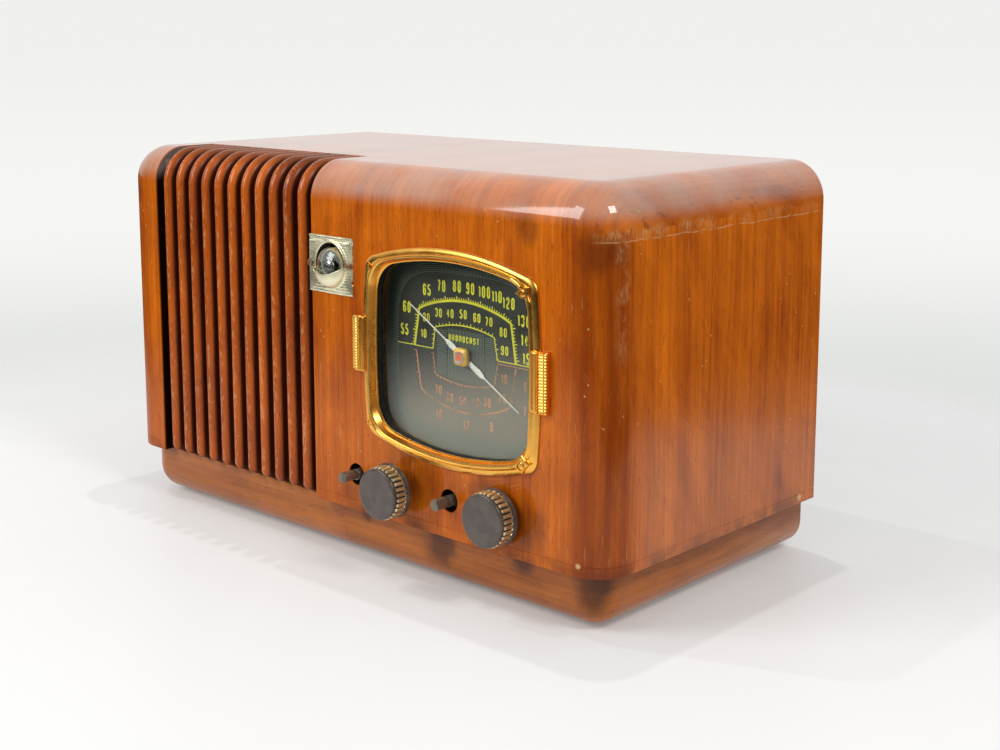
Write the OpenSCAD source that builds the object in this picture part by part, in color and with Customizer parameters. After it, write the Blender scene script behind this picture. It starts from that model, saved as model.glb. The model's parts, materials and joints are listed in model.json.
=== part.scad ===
// Table radio receiver: a bent wood cabinet with a louvred grille, an airplane dial and a tuning eye.
// Millimetres. X runs to the right as seen from the front, Y to the back and Z up.
// The origin is the middle of the base. Inside the modules, depth counts from the front panel's face.

/* [Cabinet] */
// Width of the cabinet
body_w = 400; // [396:1:430]
// Depth of the cabinet, from the front panel to the back edge
body_d = 196; // [192:1:225]
// Height of the whole radio
body_h = 230; // [226:1:250]
// Thickness of the bent wood
wall = 9; // [8:0.5:10]
// Radius of the bent edges and corners
edge_r = 22; // [20:0.5:25]
// Height of the cabinet's lower edge over the table
body_z0 = 33; // [31:0.5:36]
// Setback of the plinth behind the cabinet's faces
plinth_inset = 8; // [5:0.5:10]
// Radius of the plinth's lower edge
plinth_r = 16; // [12:0.5:20]
// Width of the plinth's front and side rails
plinth_rail = 36; // [34:0.5:38]
// Width of the plinth's back rail
plinth_back = 16; // [12:0.5:18]
// Thickness of the felt feet
foot_h = 2; // [1.5:0.5:3]
// Radius of a felt foot
foot_r = 8; // [6:0.5:9]
// Thickness of the bottom board
board_t = 6; // [5:0.5:7]

/* [Grille] */
// Width of the plain strip left of the grille
strip_w = 34.5; // [30:0.5:36]
// Number of grille bars
bar_count = 11; // [7:1:11]
// Width of the slot between two bars
slot_w = 3.5; // [3:0.1:5]
// Width of the slots at the grille's two ends
end_slot = 5.5; // [4.5:0.1:7]
// Wood between the grille and the tuning eye's plate
grille_stile = 2.3; // [2:0.1:4]
// How far the grille reaches back over the top
grille_depth = 45; // [40:1:60]
// Thickness of the grille cloth
cloth_t = 0.8; // [0.6:0.1:1.2]
// Thickness of the baffle board
baffle_t = 6; // [4:0.5:7]
// Overlap of the baffle board behind the grille's edges
baffle_lap = 3.5; // [2:0.5:4]

/* [Dial] */
// From the cabinet's right side to the dial's centre
dial_in = 106; // [104:0.5:108]
// From the cabinet's lower edge to the dial's centre
dial_up = 98; // [97:0.5:100]
// Half the width of the escutcheon without its ears
bezel_a = 65.2; // [64:0.1:67]
// Half the height of the escutcheon
bezel_b = 58.3; // [58:0.1:60]
// Half the width of the dial window
window_a = 56; // [54:0.1:56.5]
// Half the height of the dial window
window_b = 51; // [49:0.1:51.5]
// Height of the escutcheon's rim over the front panel
bezel_rise = 5; // [4:0.1:6]
// Reach of the escutcheon's lip into the front panel
lip_depth = 8; // [7:0.5:8.5]
// Half the width across the escutcheon's ears
ear_reach = 71.5; // [70:0.1:74]
// Half the height of an ear
ear_half = 16; // [12:0.5:18]
// Thickness of the dial glass
glass_t = 2; // [1.5:0.1:2.5]
// Depth of the dial plate's face behind the front panel's face
dial_face = 13; // [12.5:0.1:14]
// Thickness of the dial plate and of its bracket
sheet_t = 1.2; // [1:0.1:1.5]
// Length of the pointer from its hub to either tip
pointer_len = 47; // [42:0.5:48]
// How far the pointer stands from the low end of the scale
pointer_deg = 31; // [0:1:180]

/* [Tuning eye] */
// From the dial's centre to the tuning eye, across
eye_dx = 89.5; // [88.5:0.5:91]
// From the dial's centre to the tuning eye, up
eye_dz = 41.5; // [40:0.5:42]
// Width of the eye's plate
eye_plate_w = 34; // [34:0.5:36]
// Height of the eye's plate
eye_plate_h = 32; // [32:0.5:34]
// Diameter of the eye's glass tube
eye_tube_d = 28; // [26:0.5:28.5]
// Length of the eye's tube with its base
eye_len = 84; // [76:1:86]

/* [Controls] */
// Distance from one control to the next
ctrl_pitch = 36.7; // [36:0.1:37]
// Height of the controls over the cabinet's lower edge
ctrl_up = 21; // [20.5:0.1:23]
// Diameter of the control holes in the front panel
ctrl_hole_d = 12.7; // [11:0.1:14]
// Diameter of the control shafts, a quarter inch
shaft_d = 6.35; // [6:0.01:6.4]
// Reach of the knobs in front of the front panel
knob_reach = 14; // [13:0.5:16]
// How much further out the volume knob sits on its shaft
volume_out = 5; // [0:0.5:6]
// Reach of the bare shafts in front of the front panel
shaft_reach = 11; // [10:0.5:12]
// Diameter of a knob
knob_d = 30; // [27:0.5:32]
// Clearance between a shaft and its bearing, on the radius
run_gap = 0.05; // [0.03:0.01:0.09]

/* [Loudspeaker] */
// How far the loudspeaker's rim reaches past the grille's edges
spk_lap = 0.7; // [0:0.1:1.2]
// Width of the loudspeaker's rim outside its hole in the baffle board
spk_rim = 14; // [12:0.5:16]
// Depth of the loudspeaker's basket
spk_basket = 36; // [32:0.5:40]
// Radius of the loudspeaker's magnet pot
pot_r = 27; // [24:0.5:30]
// Length of the loudspeaker's magnet pot
pot_len = 35; // [28:0.5:38]

/* [Chassis] */
// Height of the chassis
pan_h = 50; // [49:0.5:52]
// Depth of the chassis front behind the front panel's face
pan_y0 = 32; // [31.5:0.1:33]
// Length of the chassis, front to back
pan_len = 144; // [143:0.5:146]
// Height of the signal tubes over their sockets
small_tube_h = 92; // [80:1:96]
// Radius of the bulb on the signal tubes
small_tube_r = 17; // [16:0.5:17]
// Height of the larger tubes over their sockets
large_tube_h = 104; // [90:1:108]
// Radius of the bulb on the larger tubes
large_tube_r = 19.5; // [17:0.5:19.5]
// Radius of the moulded base under a tube
tube_base_r = 15; // [14:0.5:15.5]
// Height of the moulded base under a tube
tube_base_h = 22; // [18:1:26]
// Width of the power transformer
mains_w = 52; // [44:1:54]
// Thickness of the power transformer's core
mains_d = 30; // [24:1:34]
// Height of the power transformer
mains_h = 62; // [54:1:70]
// Width of an intermediate frequency can
if_can_w = 35; // [30:0.5:36]
// Height of an intermediate frequency can
if_can_h = 62; // [50:1:64]

/* [Tuning capacitor] */
// Width of the tuning capacitor's frame
gang_w = 40; // [38:0.5:41]
// Length of the tuning capacitor's frame
gang_len = 57.5; // [57.5:0.5:60]
// Radius of the rotor plates
plate_r = 23; // [21:0.5:24]
// Number of rotor plates in each section
plate_count = 5; // [3:1:5]
// Distance from one plate of a section to the next
leaf_pitch = 3.2; // [3:0.1:3.4]
// Distance from one section of the capacitor to the other
section_step = 27.5; // [24:0.5:28]
// Radius at which the drive cord runs round the drum
drum_run_r = 32; // [28:0.5:33]
// Diameter of the drive cord
cord_d = 1; // [0.8:0.1:1.1]

/* [Hidden] */
$fn = 64;
// Overshoot of a cut past the face that it opens
cut = 1;
// Gap between solids that lie beside each other and move apart
free_gap = 0.3;

// Places worked out from the driving sizes
front_y = -(body_d - knob_reach - volume_out) / 2;
grille_x0 = -body_w / 2 + strip_w;
dial_x = body_w / 2 - dial_in;
dial_z = body_z0 + dial_up;
eye_x = dial_x - eye_dx;
grille_w = eye_x - eye_plate_w / 2 - grille_stile - grille_x0;
grille_mid = grille_x0 + grille_w / 2;
bar_w = (grille_w - 2 * end_slot - (bar_count - 1) * slot_w) / bar_count;
bar_pitch = bar_w + slot_w;
bar_margin = end_slot + bar_w / 2;
eye_z = dial_z + eye_dz;
ctrl_z = body_z0 + ctrl_up;
floor_z = body_z0 + board_t;
pan_x0 = eye_x - 10.5;
pan_x1 = body_w / 2 - wall - 5;
pan_y1 = pan_y0 + pan_len;
pan_z = floor_z + pan_h;
shaft_r = shaft_d / 2;
bearing_r = shaft_r + run_gap;
baffle_back = wall + cloth_t + baffle_t;

// Cushion outlines of the dial: bow radii of the long edges and of the sides
bow_top = 220;
bow_side = 500;
// Corner radii of the escutcheon's rim and of the dial window
rim_corner = 9;
window_corner = 18;
flange_t = 1.5;
rim_step = 2.5;
lip_wall = 2.5;
rabbet = 1;
glass_y = 4;
glass_gap = 0.2;
panel_gap = 0.5;
boss_x = 57.5;
boss_z = 44;
boss_r = 5;
boss_rise = bezel_rise + 1;
screw_r = 1.2;
screw_head_r = 2.6;
screw_head_t = 1.2;
screw_len = 7;

// Controls, from left to right: tone, volume, wave band and tuning
control_offsets = [-2, -1, 0, 1];
tone_x = dial_x + control_offsets[0] * ctrl_pitch;
volume_x = dial_x + control_offsets[1] * ctrl_pitch;
band_x = dial_x + control_offsets[2] * ctrl_pitch;
tuning_x = dial_x + control_offsets[3] * ctrl_pitch;
bushing_r = 4.7;
bushing_y = pan_y0 - 8;
nut_r = 7;
nut_t = 2.5;
bearing_flange_t = 1.5;
bearing_end = pan_y0 + sheet_t + 7;
pot_case_r = 12.8;
pot_case_len = 20;
shaft_end = pan_y0 + sheet_t + 15;
flat_len = 9;
flat_share = 0.77;

// Loudspeaker
spk_z = (floor_z + body_h - baffle_back) / 2;
spk_r = min(grille_w / 2 + spk_lap, (body_h - baffle_back - floor_z) / 2 - spk_lap);
spk_hole_r = spk_r - spk_rim;
rim_y = baffle_back;
back_y = rim_y + spk_basket;
pole_r = 9.5;
coil_r = 10.6;
gap_r = 11.6;
gap_depth = 10;
rim_in_r = spk_r - 11;
surround_r = rim_in_r - 0.5;
cone_r = surround_r - 4.5;

// Tuning capacitor and drive
gang_y0 = pan_y0 + 12;
gang_y1 = gang_y0 + gang_len;
gang_post = 12;
gang_t = 1.5;
leaf_t = 0.8;
section_in = gang_t + 5;
hub_r = 5;
stator_clear_r = 6.5;
rod_r = 1.5;
section_y = [gang_y0 + section_in, gang_y0 + section_in + section_step];
drive_y = pan_y0 - 4.5;
drum_w = 7;
drum_r = drum_run_r + 1;
cord_r = cord_d / 2;
tip_y = glass_y + glass_t + 2.2;

function corner_centre(a, b, rc) =
    let (
        top = [0, b - bow_top],
        side = [a - bow_side, 0],
        span = norm(side - top),
        reach_top = bow_top - rc,
        reach_side = bow_side - rc,
        along = (reach_top * reach_top - reach_side * reach_side + span * span) / (2 * span),
        off = sqrt(reach_top * reach_top - along * along),
        dir = (side - top) / span
    )
    top + along * dir + off * [dir.y, -dir.x];

function arc_points(centre, r, from, to, steps) =
    [for (k = [0:steps]) centre + r * [cos(from + (to - from) * k / steps), sin(from + (to - from) * k / steps)]];

function quarter_points(a, b, rc) =
    let (
        top = [0, b - bow_top],
        side = [a - bow_side, 0],
        corner = corner_centre(a, b, rc),
        turn_top = atan2(corner.y - top.y, corner.x - top.x),
        turn_side = atan2(corner.y - side.y, corner.x - side.x)
    )
    concat(
        arc_points(top, bow_top, 90, turn_top, 4),
        [for (p = [1:7]) arc_points(corner, rc, turn_top, turn_side, 8)[p]],
        arc_points(side, bow_side, turn_side, 0, 3)
    );

function cushion_points(a, b, rc) =
    let (q = quarter_points(a, b, rc), n = len(q) - 1)
    concat(
        [for (k = [0:n]) q[k]],
        [for (k = [n - 1:-1:0]) [q[k].x, -q[k].y]],
        [for (k = [1:n]) [-q[k].x, -q[k].y]],
        [for (k = [n - 1:-1:1]) [-q[k].x, q[k].y]]
    );

// Helpers
module in_frame() {
    translate([0, front_y, 0]) children();
}

module at(x, z) {
    translate([x, 0, z]) children();
}

module at_dial() {
    at(dial_x, dial_z) children();
}

module at_eye() {
    at(eye_x, eye_z) children();
}

module at_speaker() {
    at(grille_mid, spk_z) children();
}

module at_bosses() {
    for (sx = [-1, 1], sz = [-1, 1]) at(dial_x + sx * boss_x, dial_z + sz * boss_z) children();
}

module rod_y(y0, y1, r) {
    translate([0, y0, 0]) rotate([-90, 0, 0]) cylinder(h = y1 - y0, r = r);
}

module plate_y(y0, y1) {
    translate([0, y1, 0]) rotate([90, 0, 0]) linear_extrude(y1 - y0) children();
}

module turned_y() {
    rotate([-90, 0, 0]) rotate_extrude() children();
}

module strip_x(x0, x1) {
    translate([x0, 0, 0]) rotate([90, 0, 90]) linear_extrude(x1 - x0) children();
}

module block(x, y, z) {
    translate([x[0], y[0], z[0]]) cube([x[1] - x[0], y[1] - y[0], z[1] - z[0]]);
}

module cushion(grow_a, grow_b, rc) {
    polygon(cushion_points(grow_a, grow_b, rc));
}

// A rectangle with its two front corners rounded, seen from above
module plan_outline(w, d, r) {
    for (sx = [-1, 1]) translate([sx * (w / 2 - r), r]) circle(r);
    translate([-(w / 2 - r), 0]) square([w - 2 * r, d]);
    translate([-w / 2, r]) square([w, d - r]);
}

// A box with rounded front corners and rounded top edges, square at the back and below
module bent_box(w, d, h, r) {
    linear_extrude(h - r) plan_outline(w, d, r);
    plate_y(r, d) {
        for (sx = [-1, 1]) translate([sx * (w / 2 - r), h - r]) circle(r);
        translate([-(w / 2 - r), 0]) square([w - 2 * r, h]);
        translate([-w / 2, 0]) square([w, h - r]);
    }
    strip_x(-(w / 2 - r), w / 2 - r) {
        translate([r, h - r]) circle(r);
        translate([0, 0]) square([r, h - r]);
        translate([r, 0]) square([d - r, h]);
    }
    for (sx = [-1, 1]) translate([sx * (w / 2 - r), r, h - r]) sphere(r);
}

// The curve that lines the front panel and the top, in depth and height
module bend_strip(skin, t, z0, y1) {
    r = edge_r - skin;
    axis_z = body_h - edge_r;
    translate([skin, z0]) square([t, axis_z - z0]);
    translate([edge_r, axis_z]) intersection() {
        difference() {
            circle(r);
            circle(r - t);
        }
        translate([-r, 0]) square(r);
    }
    translate([edge_r, axis_z + r - t]) square([y1 - edge_r, t]);
}

// Cabinet
module cabinet_shell() {
    inner_r = edge_r - wall;
    color("#8f3d17") in_frame() difference() {
        translate([0, 0, body_z0]) bent_box(body_w, body_d, body_h - body_z0, edge_r);
        translate([0, wall, body_z0 - cut])
            bent_box(body_w - 2 * wall, body_d, body_h - wall - body_z0 + cut, inner_r);
        block([grille_x0, grille_x0 + grille_w], [-cut, grille_depth], [body_z0 - cut, body_h + cut]);
        at_dial() plate_y(-cut, wall + cut)
            cushion(window_a + lip_wall + panel_gap, window_b + lip_wall + panel_gap, window_corner);
        at_eye() rod_y(-cut, wall + cut, eye_tube_d / 2 + 1);
        for (i = control_offsets) at(dial_x + i * ctrl_pitch, ctrl_z) rod_y(-cut, wall + cut, ctrl_hole_d / 2);
        at_bosses() rod_y(-cut, screw_len, screw_r + run_gap);
        eye_screw_places() rod_y(-cut, screw_len, screw_r + run_gap);
    }
}

// Half-round in front and square behind, with its crown at the origin
module bar_section() {
    intersection() {
        translate([0, bar_w / 2]) circle(bar_w / 2);
        translate([-bar_w / 2, 0]) square([bar_w, bar_w / 2]);
    }
    translate([-bar_w / 2, bar_w / 2]) square([bar_w, wall - bar_w / 2]);
}

module grille_bar(i) {
    foot = 1.5;
    x = grille_x0 + bar_margin + (i - 1) * bar_pitch;
    axis_z = body_h - edge_r;
    color("#a4502a") in_frame() translate([x, 0, 0]) {
        translate([0, 0, body_z0 + foot]) linear_extrude(axis_z - body_z0 - foot) bar_section();
        translate([0, edge_r, axis_z]) rotate([90, 0, -90]) rotate_extrude(angle = 90)
            translate([edge_r, 0]) rotate(90) bar_section();
        translate([0, 0, body_h]) plate_y(edge_r, grille_depth) mirror([0, 1]) bar_section();
    }
}

module grille_cloth() {
    lap = baffle_lap - 1;
    color("#3b2417") in_frame() strip_x(grille_x0 - lap, grille_x0 + grille_w + lap)
        bend_strip(wall, cloth_t, floor_z + 1, grille_depth + lap);
}

module baffle_board() {
    color("#6b5136") in_frame() difference() {
        strip_x(grille_x0 - baffle_lap, grille_x0 + grille_w + baffle_lap)
            bend_strip(wall + cloth_t, baffle_t, floor_z, grille_depth + baffle_lap);
        at_speaker() rod_y(0, baffle_back + cut, spk_hole_r);
        speaker_screw_places() rod_y(wall + cloth_t + 1, baffle_back + cut, screw_r + run_gap);
    }
}

module plinth() {
    tall = 3 * plinth_r;
    inner_w = body_w - 2 * plinth_inset - 2 * plinth_rail;
    color("#7d3413") in_frame() difference() {
        translate([0, plinth_inset, foot_h + tall]) mirror([0, 0, 1])
            bent_box(body_w - 2 * plinth_inset, body_d - plinth_inset, tall, plinth_r);
        block([-body_w, body_w], [-cut, body_d + cut], [body_z0, 2 * tall]);
        block([-inner_w / 2, inner_w / 2], [plinth_inset + plinth_rail, body_d - plinth_back], [0, body_z0 + cut]);
    }
}

module bottom_board() {
    back_lip = 6;
    color("#8b6d48") in_frame() difference() {
        translate([0, wall, body_z0]) linear_extrude(board_t)
            plan_outline(body_w - 2 * wall, body_d - wall - back_lip, edge_r - wall);
        bolt_places() cylinder(h = 4 * board_t, r = bolt_r + 0.4, center = true);
    }
}

module felt_feet() {
    x = body_w / 2 - plinth_inset - plinth_r - foot_r - 1;
    color("#2b2320") in_frame() for (sx = [-1, 1], y = [plinth_inset + plinth_r + foot_r + 2, body_d - foot_r - 1])
        translate([sx * x, y, 0]) cylinder(h = foot_h, r = foot_r);
}

// Dial
module ear(side) {
    rib = 2.7;
    x0 = bezel_a - 3;
    at(0, -1.6) mirror([side < 0 ? 1 : 0, 0, 0]) difference() {
        block([x0, ear_reach], [-bezel_rise - 0.5, 0], [-ear_half, ear_half]);
        for (z = [-5:1:5]) translate([x0 - cut, -bezel_rise - 1.3, z * rib]) rotate([0, 90, 0])
            cylinder(h = ear_reach, r = 1.3);
    }
}

module dial_escutcheon() {
    color("#c9962f") in_frame() difference() {
        union() {
            at_dial() {
                plate_y(-flange_t, 0) cushion(bezel_a, bezel_b, rim_corner);
                plate_y(-bezel_rise, -flange_t)
                    cushion(bezel_a - rim_step, bezel_b - rim_step, rim_corner);
                plate_y(0, lip_depth)
                    cushion(window_a + lip_wall, window_b + lip_wall, window_corner);
                for (side = [-1, 1]) ear(side);
            }
            at_bosses() rod_y(-boss_rise, 0, boss_r);
        }
        at_dial() plate_y(-boss_rise - cut, lip_depth + cut) cushion(window_a, window_b, window_corner);
        at_dial() plate_y(glass_y, lip_depth + cut)
            cushion(window_a + rabbet, window_b + rabbet, window_corner);
        at_bosses() rod_y(-boss_rise - cut, cut, screw_r + run_gap);
    }
}

module slotted_screw(face) {
    slit_w = 0.7;
    slit_d = 0.6;
    difference() {
        union() {
            rod_y(face - screw_head_t, face, screw_head_r);
            rod_y(face, screw_len - cut, screw_r);
        }
        block(
            [-screw_head_r, screw_head_r],
            [face - screw_head_t - cut, face - screw_head_t + slit_d],
            [-slit_w / 2, slit_w / 2]);
    }
}

module escutcheon_screws() {
    color("#b98a35") in_frame() at_bosses() rotate([0, 35, 0]) slotted_screw(-boss_rise);
}

module dial_glass() {
    grow = rabbet - glass_gap;
    color([0.8, 0.85, 0.82, 0.3]) in_frame() at_dial() plate_y(glass_y, glass_y + glass_t)
        cushion(window_a + grow, window_b + grow, window_corner);
}

module dial_plate() {
    color("#23302b") in_frame() at_dial() difference() {
        plate_y(dial_face, dial_face + sheet_t) square([2 * plate_a, 2 * plate_b], center = true);
        rod_y(0, dial_face + sheet_t + cut, shaft_r + 1);
    }
}

plate_a = 61;
plate_b = 56;
web_x = 56;
web_y1 = pan_y0 + 14;

module dial_bracket() {
    y0 = dial_face + sheet_t;
    foot_w = 6;
    head = 54;
    slot_z = 60;
    color("#8c8f92") in_frame() difference() {
        union() {
            block([dial_x - web_x, dial_x + web_x], [y0, y0 + sheet_t], [ctrl_z + 23, dial_z + head]);
            for (sx = [-1, 1]) translate([dial_x, 0, 0]) mirror([sx < 0 ? 1 : 0, 0, 0]) {
                block([web_x - sheet_t, web_x], [y0, web_y1], [pan_z, dial_z + head]);
                block([web_x - sheet_t, web_x + foot_w], [pan_y0 + 2, web_y1], [pan_z, pan_z + sheet_t]);
            }
        }
        at_dial() rod_y(0, y0 + sheet_t + cut, shaft_r + 3);
        at_dial() for (sx = [-1, 1]) translate([sx * lamp_dx, 0, slot_z]) rod_y(0, y0 + sheet_t + cut, 8);
    }
}

lamp_dx = 36;
lamp_z = dial_z + 40;
lamp_r = 4.8;
lamp_y = dial_face + 2 * sheet_t + lamp_r + 1;

module lamp_sockets() {
    color("#b9a468") in_frame() for (sx = [-1, 1]) translate([dial_x + sx * lamp_dx, 0, lamp_z - 13]) {
        difference() {
            translate([0, lamp_y, 0]) cylinder(h = 13, r = lamp_r);
            translate([0, lamp_y, 6]) cylinder(h = 13, r = lamp_r - 0.8);
        }
        block([-3, 3], [dial_face + 2 * sheet_t, lamp_y - lamp_r + 0.5], [0, 12]);
    }
}

module dial_lamps() {
    neck = lamp_r - 0.8;
    color([1, 0.9, 0.65, 0.5]) in_frame() for (sx = [-1, 1])
        translate([dial_x + sx * lamp_dx, lamp_y, lamp_z - 7]) {
            cylinder(h = 8, r = neck);
            translate([0, 0, 8]) cylinder(h = 6, r1 = neck, r2 = 5.2);
            translate([0, 0, 14]) sphere(5.2);
        }
}

// The pointer and all that turns with it stand pointer_deg past the low end of the scale
module at_tuner() {
    at_dial() rotate([0, pointer_deg, 0]) children();
}

module dial_pointer() {
    hub_wide = 5.5;
    hub_t = 3;
    cap_t = 0.8;
    needle_t = 0.6;
    wide = 10;
    half = 1.6;
    color("#d9d2bd") in_frame() at_tuner() difference() {
        union() {
            rod_y(tip_y - cap_t, tip_y + hub_t, hub_wide);
            plate_y(tip_y + needle_t, tip_y + 2 * needle_t) polygon([
                [-pointer_len, 0], [-wide, half], [wide, half], [pointer_len, 0], [wide, -half], [-wide, -half]
            ]);
        }
        rod_y(tip_y, tip_y + hub_t + cut, shaft_r + 0.02);
    }
}

module dial_drum() {
    groove_r = drum_run_r - cord_r - free_gap;
    y0 = drive_y - drum_w / 2;
    y1 = drive_y + drum_w / 2;
    color("#9a9da0") in_frame() at_tuner() difference() {
        turned_y() difference() {
            union() {
                translate([shaft_r + 0.02, y0]) square([5, drum_w]);
                translate([shaft_r + 1, drive_y - 0.7]) square([drum_r - shaft_r - 1, 1.4]);
                translate([drum_r - 4.5, y0]) square([4.5, drum_w]);
            }
            translate([groove_r, drive_y - cord_d]) square([drum_r, 2 * cord_d]);
        }
        for (k = [0:3]) rotate([0, 45 + 90 * k, 0]) translate([17, 0, 0]) rod_y(0, y1 + cut, 6);
    }
}

// The drive cord runs round the drum and round the tuning shaft
module dial_cord() {
    spindle_run_r = shaft_r + cord_r + 0.325;
    sides = 8;
    drum_steps = 28;
    spindle_steps = 8;
    hub = [dial_x, dial_z];
    spindle = [tuning_x, ctrl_z];
    reach = spindle - hub;
    lean = atan2(reach.y, reach.x);
    taper = acos((drum_run_r - spindle_run_r) / norm(reach));
    turns = concat(
        [for (k = [0:drum_steps]) [hub, drum_run_r, lean + taper + (360 - 2 * taper) * k / drum_steps]],
        [for (k = [0:spindle_steps]) [spindle, spindle_run_r, lean - taper + 2 * taper * k / spindle_steps]]
    );
    rings = len(turns);
    points = [
        for (turn = turns, side = [0:sides - 1])
            let (
                out = turn[1] + cord_r * cos(360 * side / sides),
                centre = turn[0],
                angle = turn[2]
            )
            [centre.x + out * cos(angle), drive_y + cord_r * sin(360 * side / sides), centre.y + out * sin(angle)]
    ];
    faces = [
        for (ring = [0:rings - 1], side = [0:sides - 1])
            let (next_ring = (ring + 1) % rings, next_side = (side + 1) % sides)
            each [
                [ring * sides + side, next_ring * sides + next_side, ring * sides + next_side],
                [ring * sides + side, next_ring * sides + side, next_ring * sides + next_side]
            ]
    ];
    color("#4a4238") in_frame() polyhedron(points = points, faces = faces);
}

// Tuning eye
eye_window_r = 12.5;
eye_plate_t = 1.2;
eye_screw_dx = 15;

module eye_screw_places() {
    for (sx = [-1, 1]) at(eye_x + sx * eye_screw_dx, eye_z - 2.5) children();
}

module eye_plate() {
    rib = 2;
    rows = floor(eye_plate_h / rib / 2) - 1;
    lid_rise = 4.5;
    lid_t = 0.8;
    lid_foot_r = eye_window_r + 0.5;
    lid_r = (lid_foot_r * lid_foot_r + lid_rise * lid_rise) / (2 * lid_rise);
    color("#b3a678") in_frame() difference() {
        at_eye() union() {
            difference() {
                block([-eye_plate_w / 2, eye_plate_w / 2], [-eye_plate_t, 0], [-eye_plate_h / 2, eye_plate_h / 2]);
                rod_y(-eye_plate_t - cut, cut, eye_window_r);
                for (k = [-rows:rows]) block(
                    [-eye_plate_w / 2 - cut, eye_plate_w / 2 + cut],
                    [-eye_plate_t - cut, -eye_plate_t + 0.3],
                    [k * rib - 0.4, k * rib + 0.4]);
            }
            intersection() {
                translate([0, lid_r - lid_rise - lid_t, 0]) difference() {
                    sphere(lid_r);
                    sphere(lid_r - lid_t);
                }
                block([-lid_foot_r, lid_foot_r], [-lid_rise - cut, -0.3], [-lid_foot_r, -3.5]);
            }
        }
        eye_screw_places() rod_y(-eye_plate_t - cut, cut, screw_r + run_gap);
    }
}

module eye_plate_screws() {
    color("#7a5236") in_frame() eye_screw_places() slotted_screw(-eye_plate_t);
}

module eye_tube() {
    r = eye_tube_d / 2;
    dome = 5;
    bulb_y1 = 0.72 * eye_len;
    dome_r = (r * r + dome * dome) / (2 * dome);
    color([0.75, 0.82, 0.8, 0.5]) in_frame() at_eye() {
        intersection() {
            translate([0, eye_y + dome_r, 0]) sphere(dome_r);
            rod_y(eye_y - cut, eye_y + dome, r);
        }
        rod_y(eye_y + dome, eye_y + bulb_y1, r);
        rod_y(eye_y + bulb_y1, eye_y + eye_len, r + 0.8);
        rod_y(eye_y + eye_len, eye_y + eye_len + 8, r + 3);
    }
}

eye_y = 1.6;

module eye_clamp() {
    r = eye_tube_d / 2 + 0.1;
    y0 = 26;
    y1 = 38;
    tab = 12;
    tab_w = 10;
    strap_t = 1.2;
    color("#9b9ea0") in_frame() at_eye() {
        difference() {
            rod_y(y0, y1, r + strap_t);
            rod_y(y0 - cut, y1 + cut, r);
        }
        difference() {
            block([-tab_w / 2, tab_w / 2], [wall, y1], [-r - 1.8, -r - 0.6]);
            rod_y(0, y1 + cut, r + 0.5);
        }
        block([-tab_w / 2, tab_w / 2], [wall, wall + strap_t], [-r - tab, -r - 0.6]);
    }
}

// Loudspeaker
module speaker_screw_places() {
    for (k = [0:3]) at_speaker() rotate([0, 45 + 90 * k, 0]) translate([spk_r - 5, 0, 0]) children();
}

module speaker_basket() {
    t = 1.4;
    windows = 6;
    window_half = 17;
    color("#4b4d4f") in_frame() difference() {
        at_speaker() union() {
            turned_y() polygon([
                [rim_in_r, rim_y], [spk_r, rim_y], [spk_r, rim_y + t], [rim_in_r + t + 0.6, rim_y + t],
                [rim_in_r + t, rim_y + 8], [pot_r + 7, back_y], [gap_r + 3, back_y], [gap_r + 3, back_y - t],
                [pot_r + 6, back_y - t], [rim_in_r, rim_y + 7]
            ]);
        }
        at_speaker() for (k = [0:windows - 1]) rotate([0, (k + 0.5) * 360 / windows, 0])
            block([pot_r + 10, spk_r + cut], [rim_y + 10, back_y - 5], [-window_half, window_half]);
        speaker_screw_places() rod_y(0, rim_y + 4, screw_r + 0.4);
    }
}

module speaker_cone() {
    t = 1;
    neck_y = back_y - 9;
    edge_y = rim_y + 4;
    color("#5a5148") in_frame() at_speaker() turned_y() polygon([
        [coil_r - 0.6, back_y + gap_depth - 3], [coil_r, back_y + gap_depth - 3], [coil_r, neck_y + t],
        [coil_r + 1, neck_y + t], [cone_r, edge_y + t], [surround_r, edge_y + t],
        [surround_r, edge_y], [cone_r - 0.6, edge_y], [coil_r - 0.6, neck_y - 1.2],
        [0, neck_y - 5], [0, neck_y - 4], [coil_r - 0.6, neck_y]
    ]);
}

module speaker_magnet() {
    color("#3c3e40") in_frame() at_speaker() turned_y() difference() {
        union() {
            translate([0, back_y]) square([pot_r, pot_len]);
            translate([0, back_y + pot_len]) square([pot_r * 0.5, 3]);
        }
        translate([pole_r, back_y - cut]) square([gap_r - pole_r, gap_depth + cut]);
    }
}

module speaker_screws() {
    color("#8d8f90") in_frame() speaker_screw_places() {
        rod_y(rim_y + 1.4, rim_y + 3.4, 3);
        rod_y(wall + cloth_t + 1.5, rim_y + 1.4, screw_r);
    }
}

// A stack of laminations with its winding showing in front and behind
module output_transformer() {
    core = [36, 20, 30];
    winding = [22, 29, 16];
    color("#55504a") in_frame()
        translate([grille_x0 - baffle_lap + 16, baffle_back + winding.y / 2 + 0.5, floor_z + core.z / 2]) {
            cube(core, center = true);
            cube(winding, center = true);
        }
}

// Chassis
bolt_r = 2;
bolt_side = 19;
bolt_x = [dial_x - 1.5 * ctrl_pitch, tuning_x + bolt_side];
bolt_y = [pan_y0 + 20, pan_y1 - 28];
flange_front = 26;
flange_back = 35;

module bolt_places() {
    for (x = bolt_x, y = bolt_y) translate([x, y, body_z0]) children();
}

// Places on the chassis top: distance from the dial's axis, and depth behind the chassis front
mixer_place = [-41, 32];
first_can_place = [-80, 30];
second_can_place = [-40, 80];
if_tube_place = [-80, 82];
detector_place = [-80, 122];
capacitor_place = [-40, 120];
output_place = [10, 116];
rectifier_place = [62, 46];
transformer_place = [61, 106];
socket_holes = [mixer_place, if_tube_place, detector_place, output_place, rectifier_place];
socket_r = 16;
socket_t = 4;

module on_chassis(place) {
    translate([dial_x + place.x, pan_y0 + place.y, pan_z]) children();
}

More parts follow.
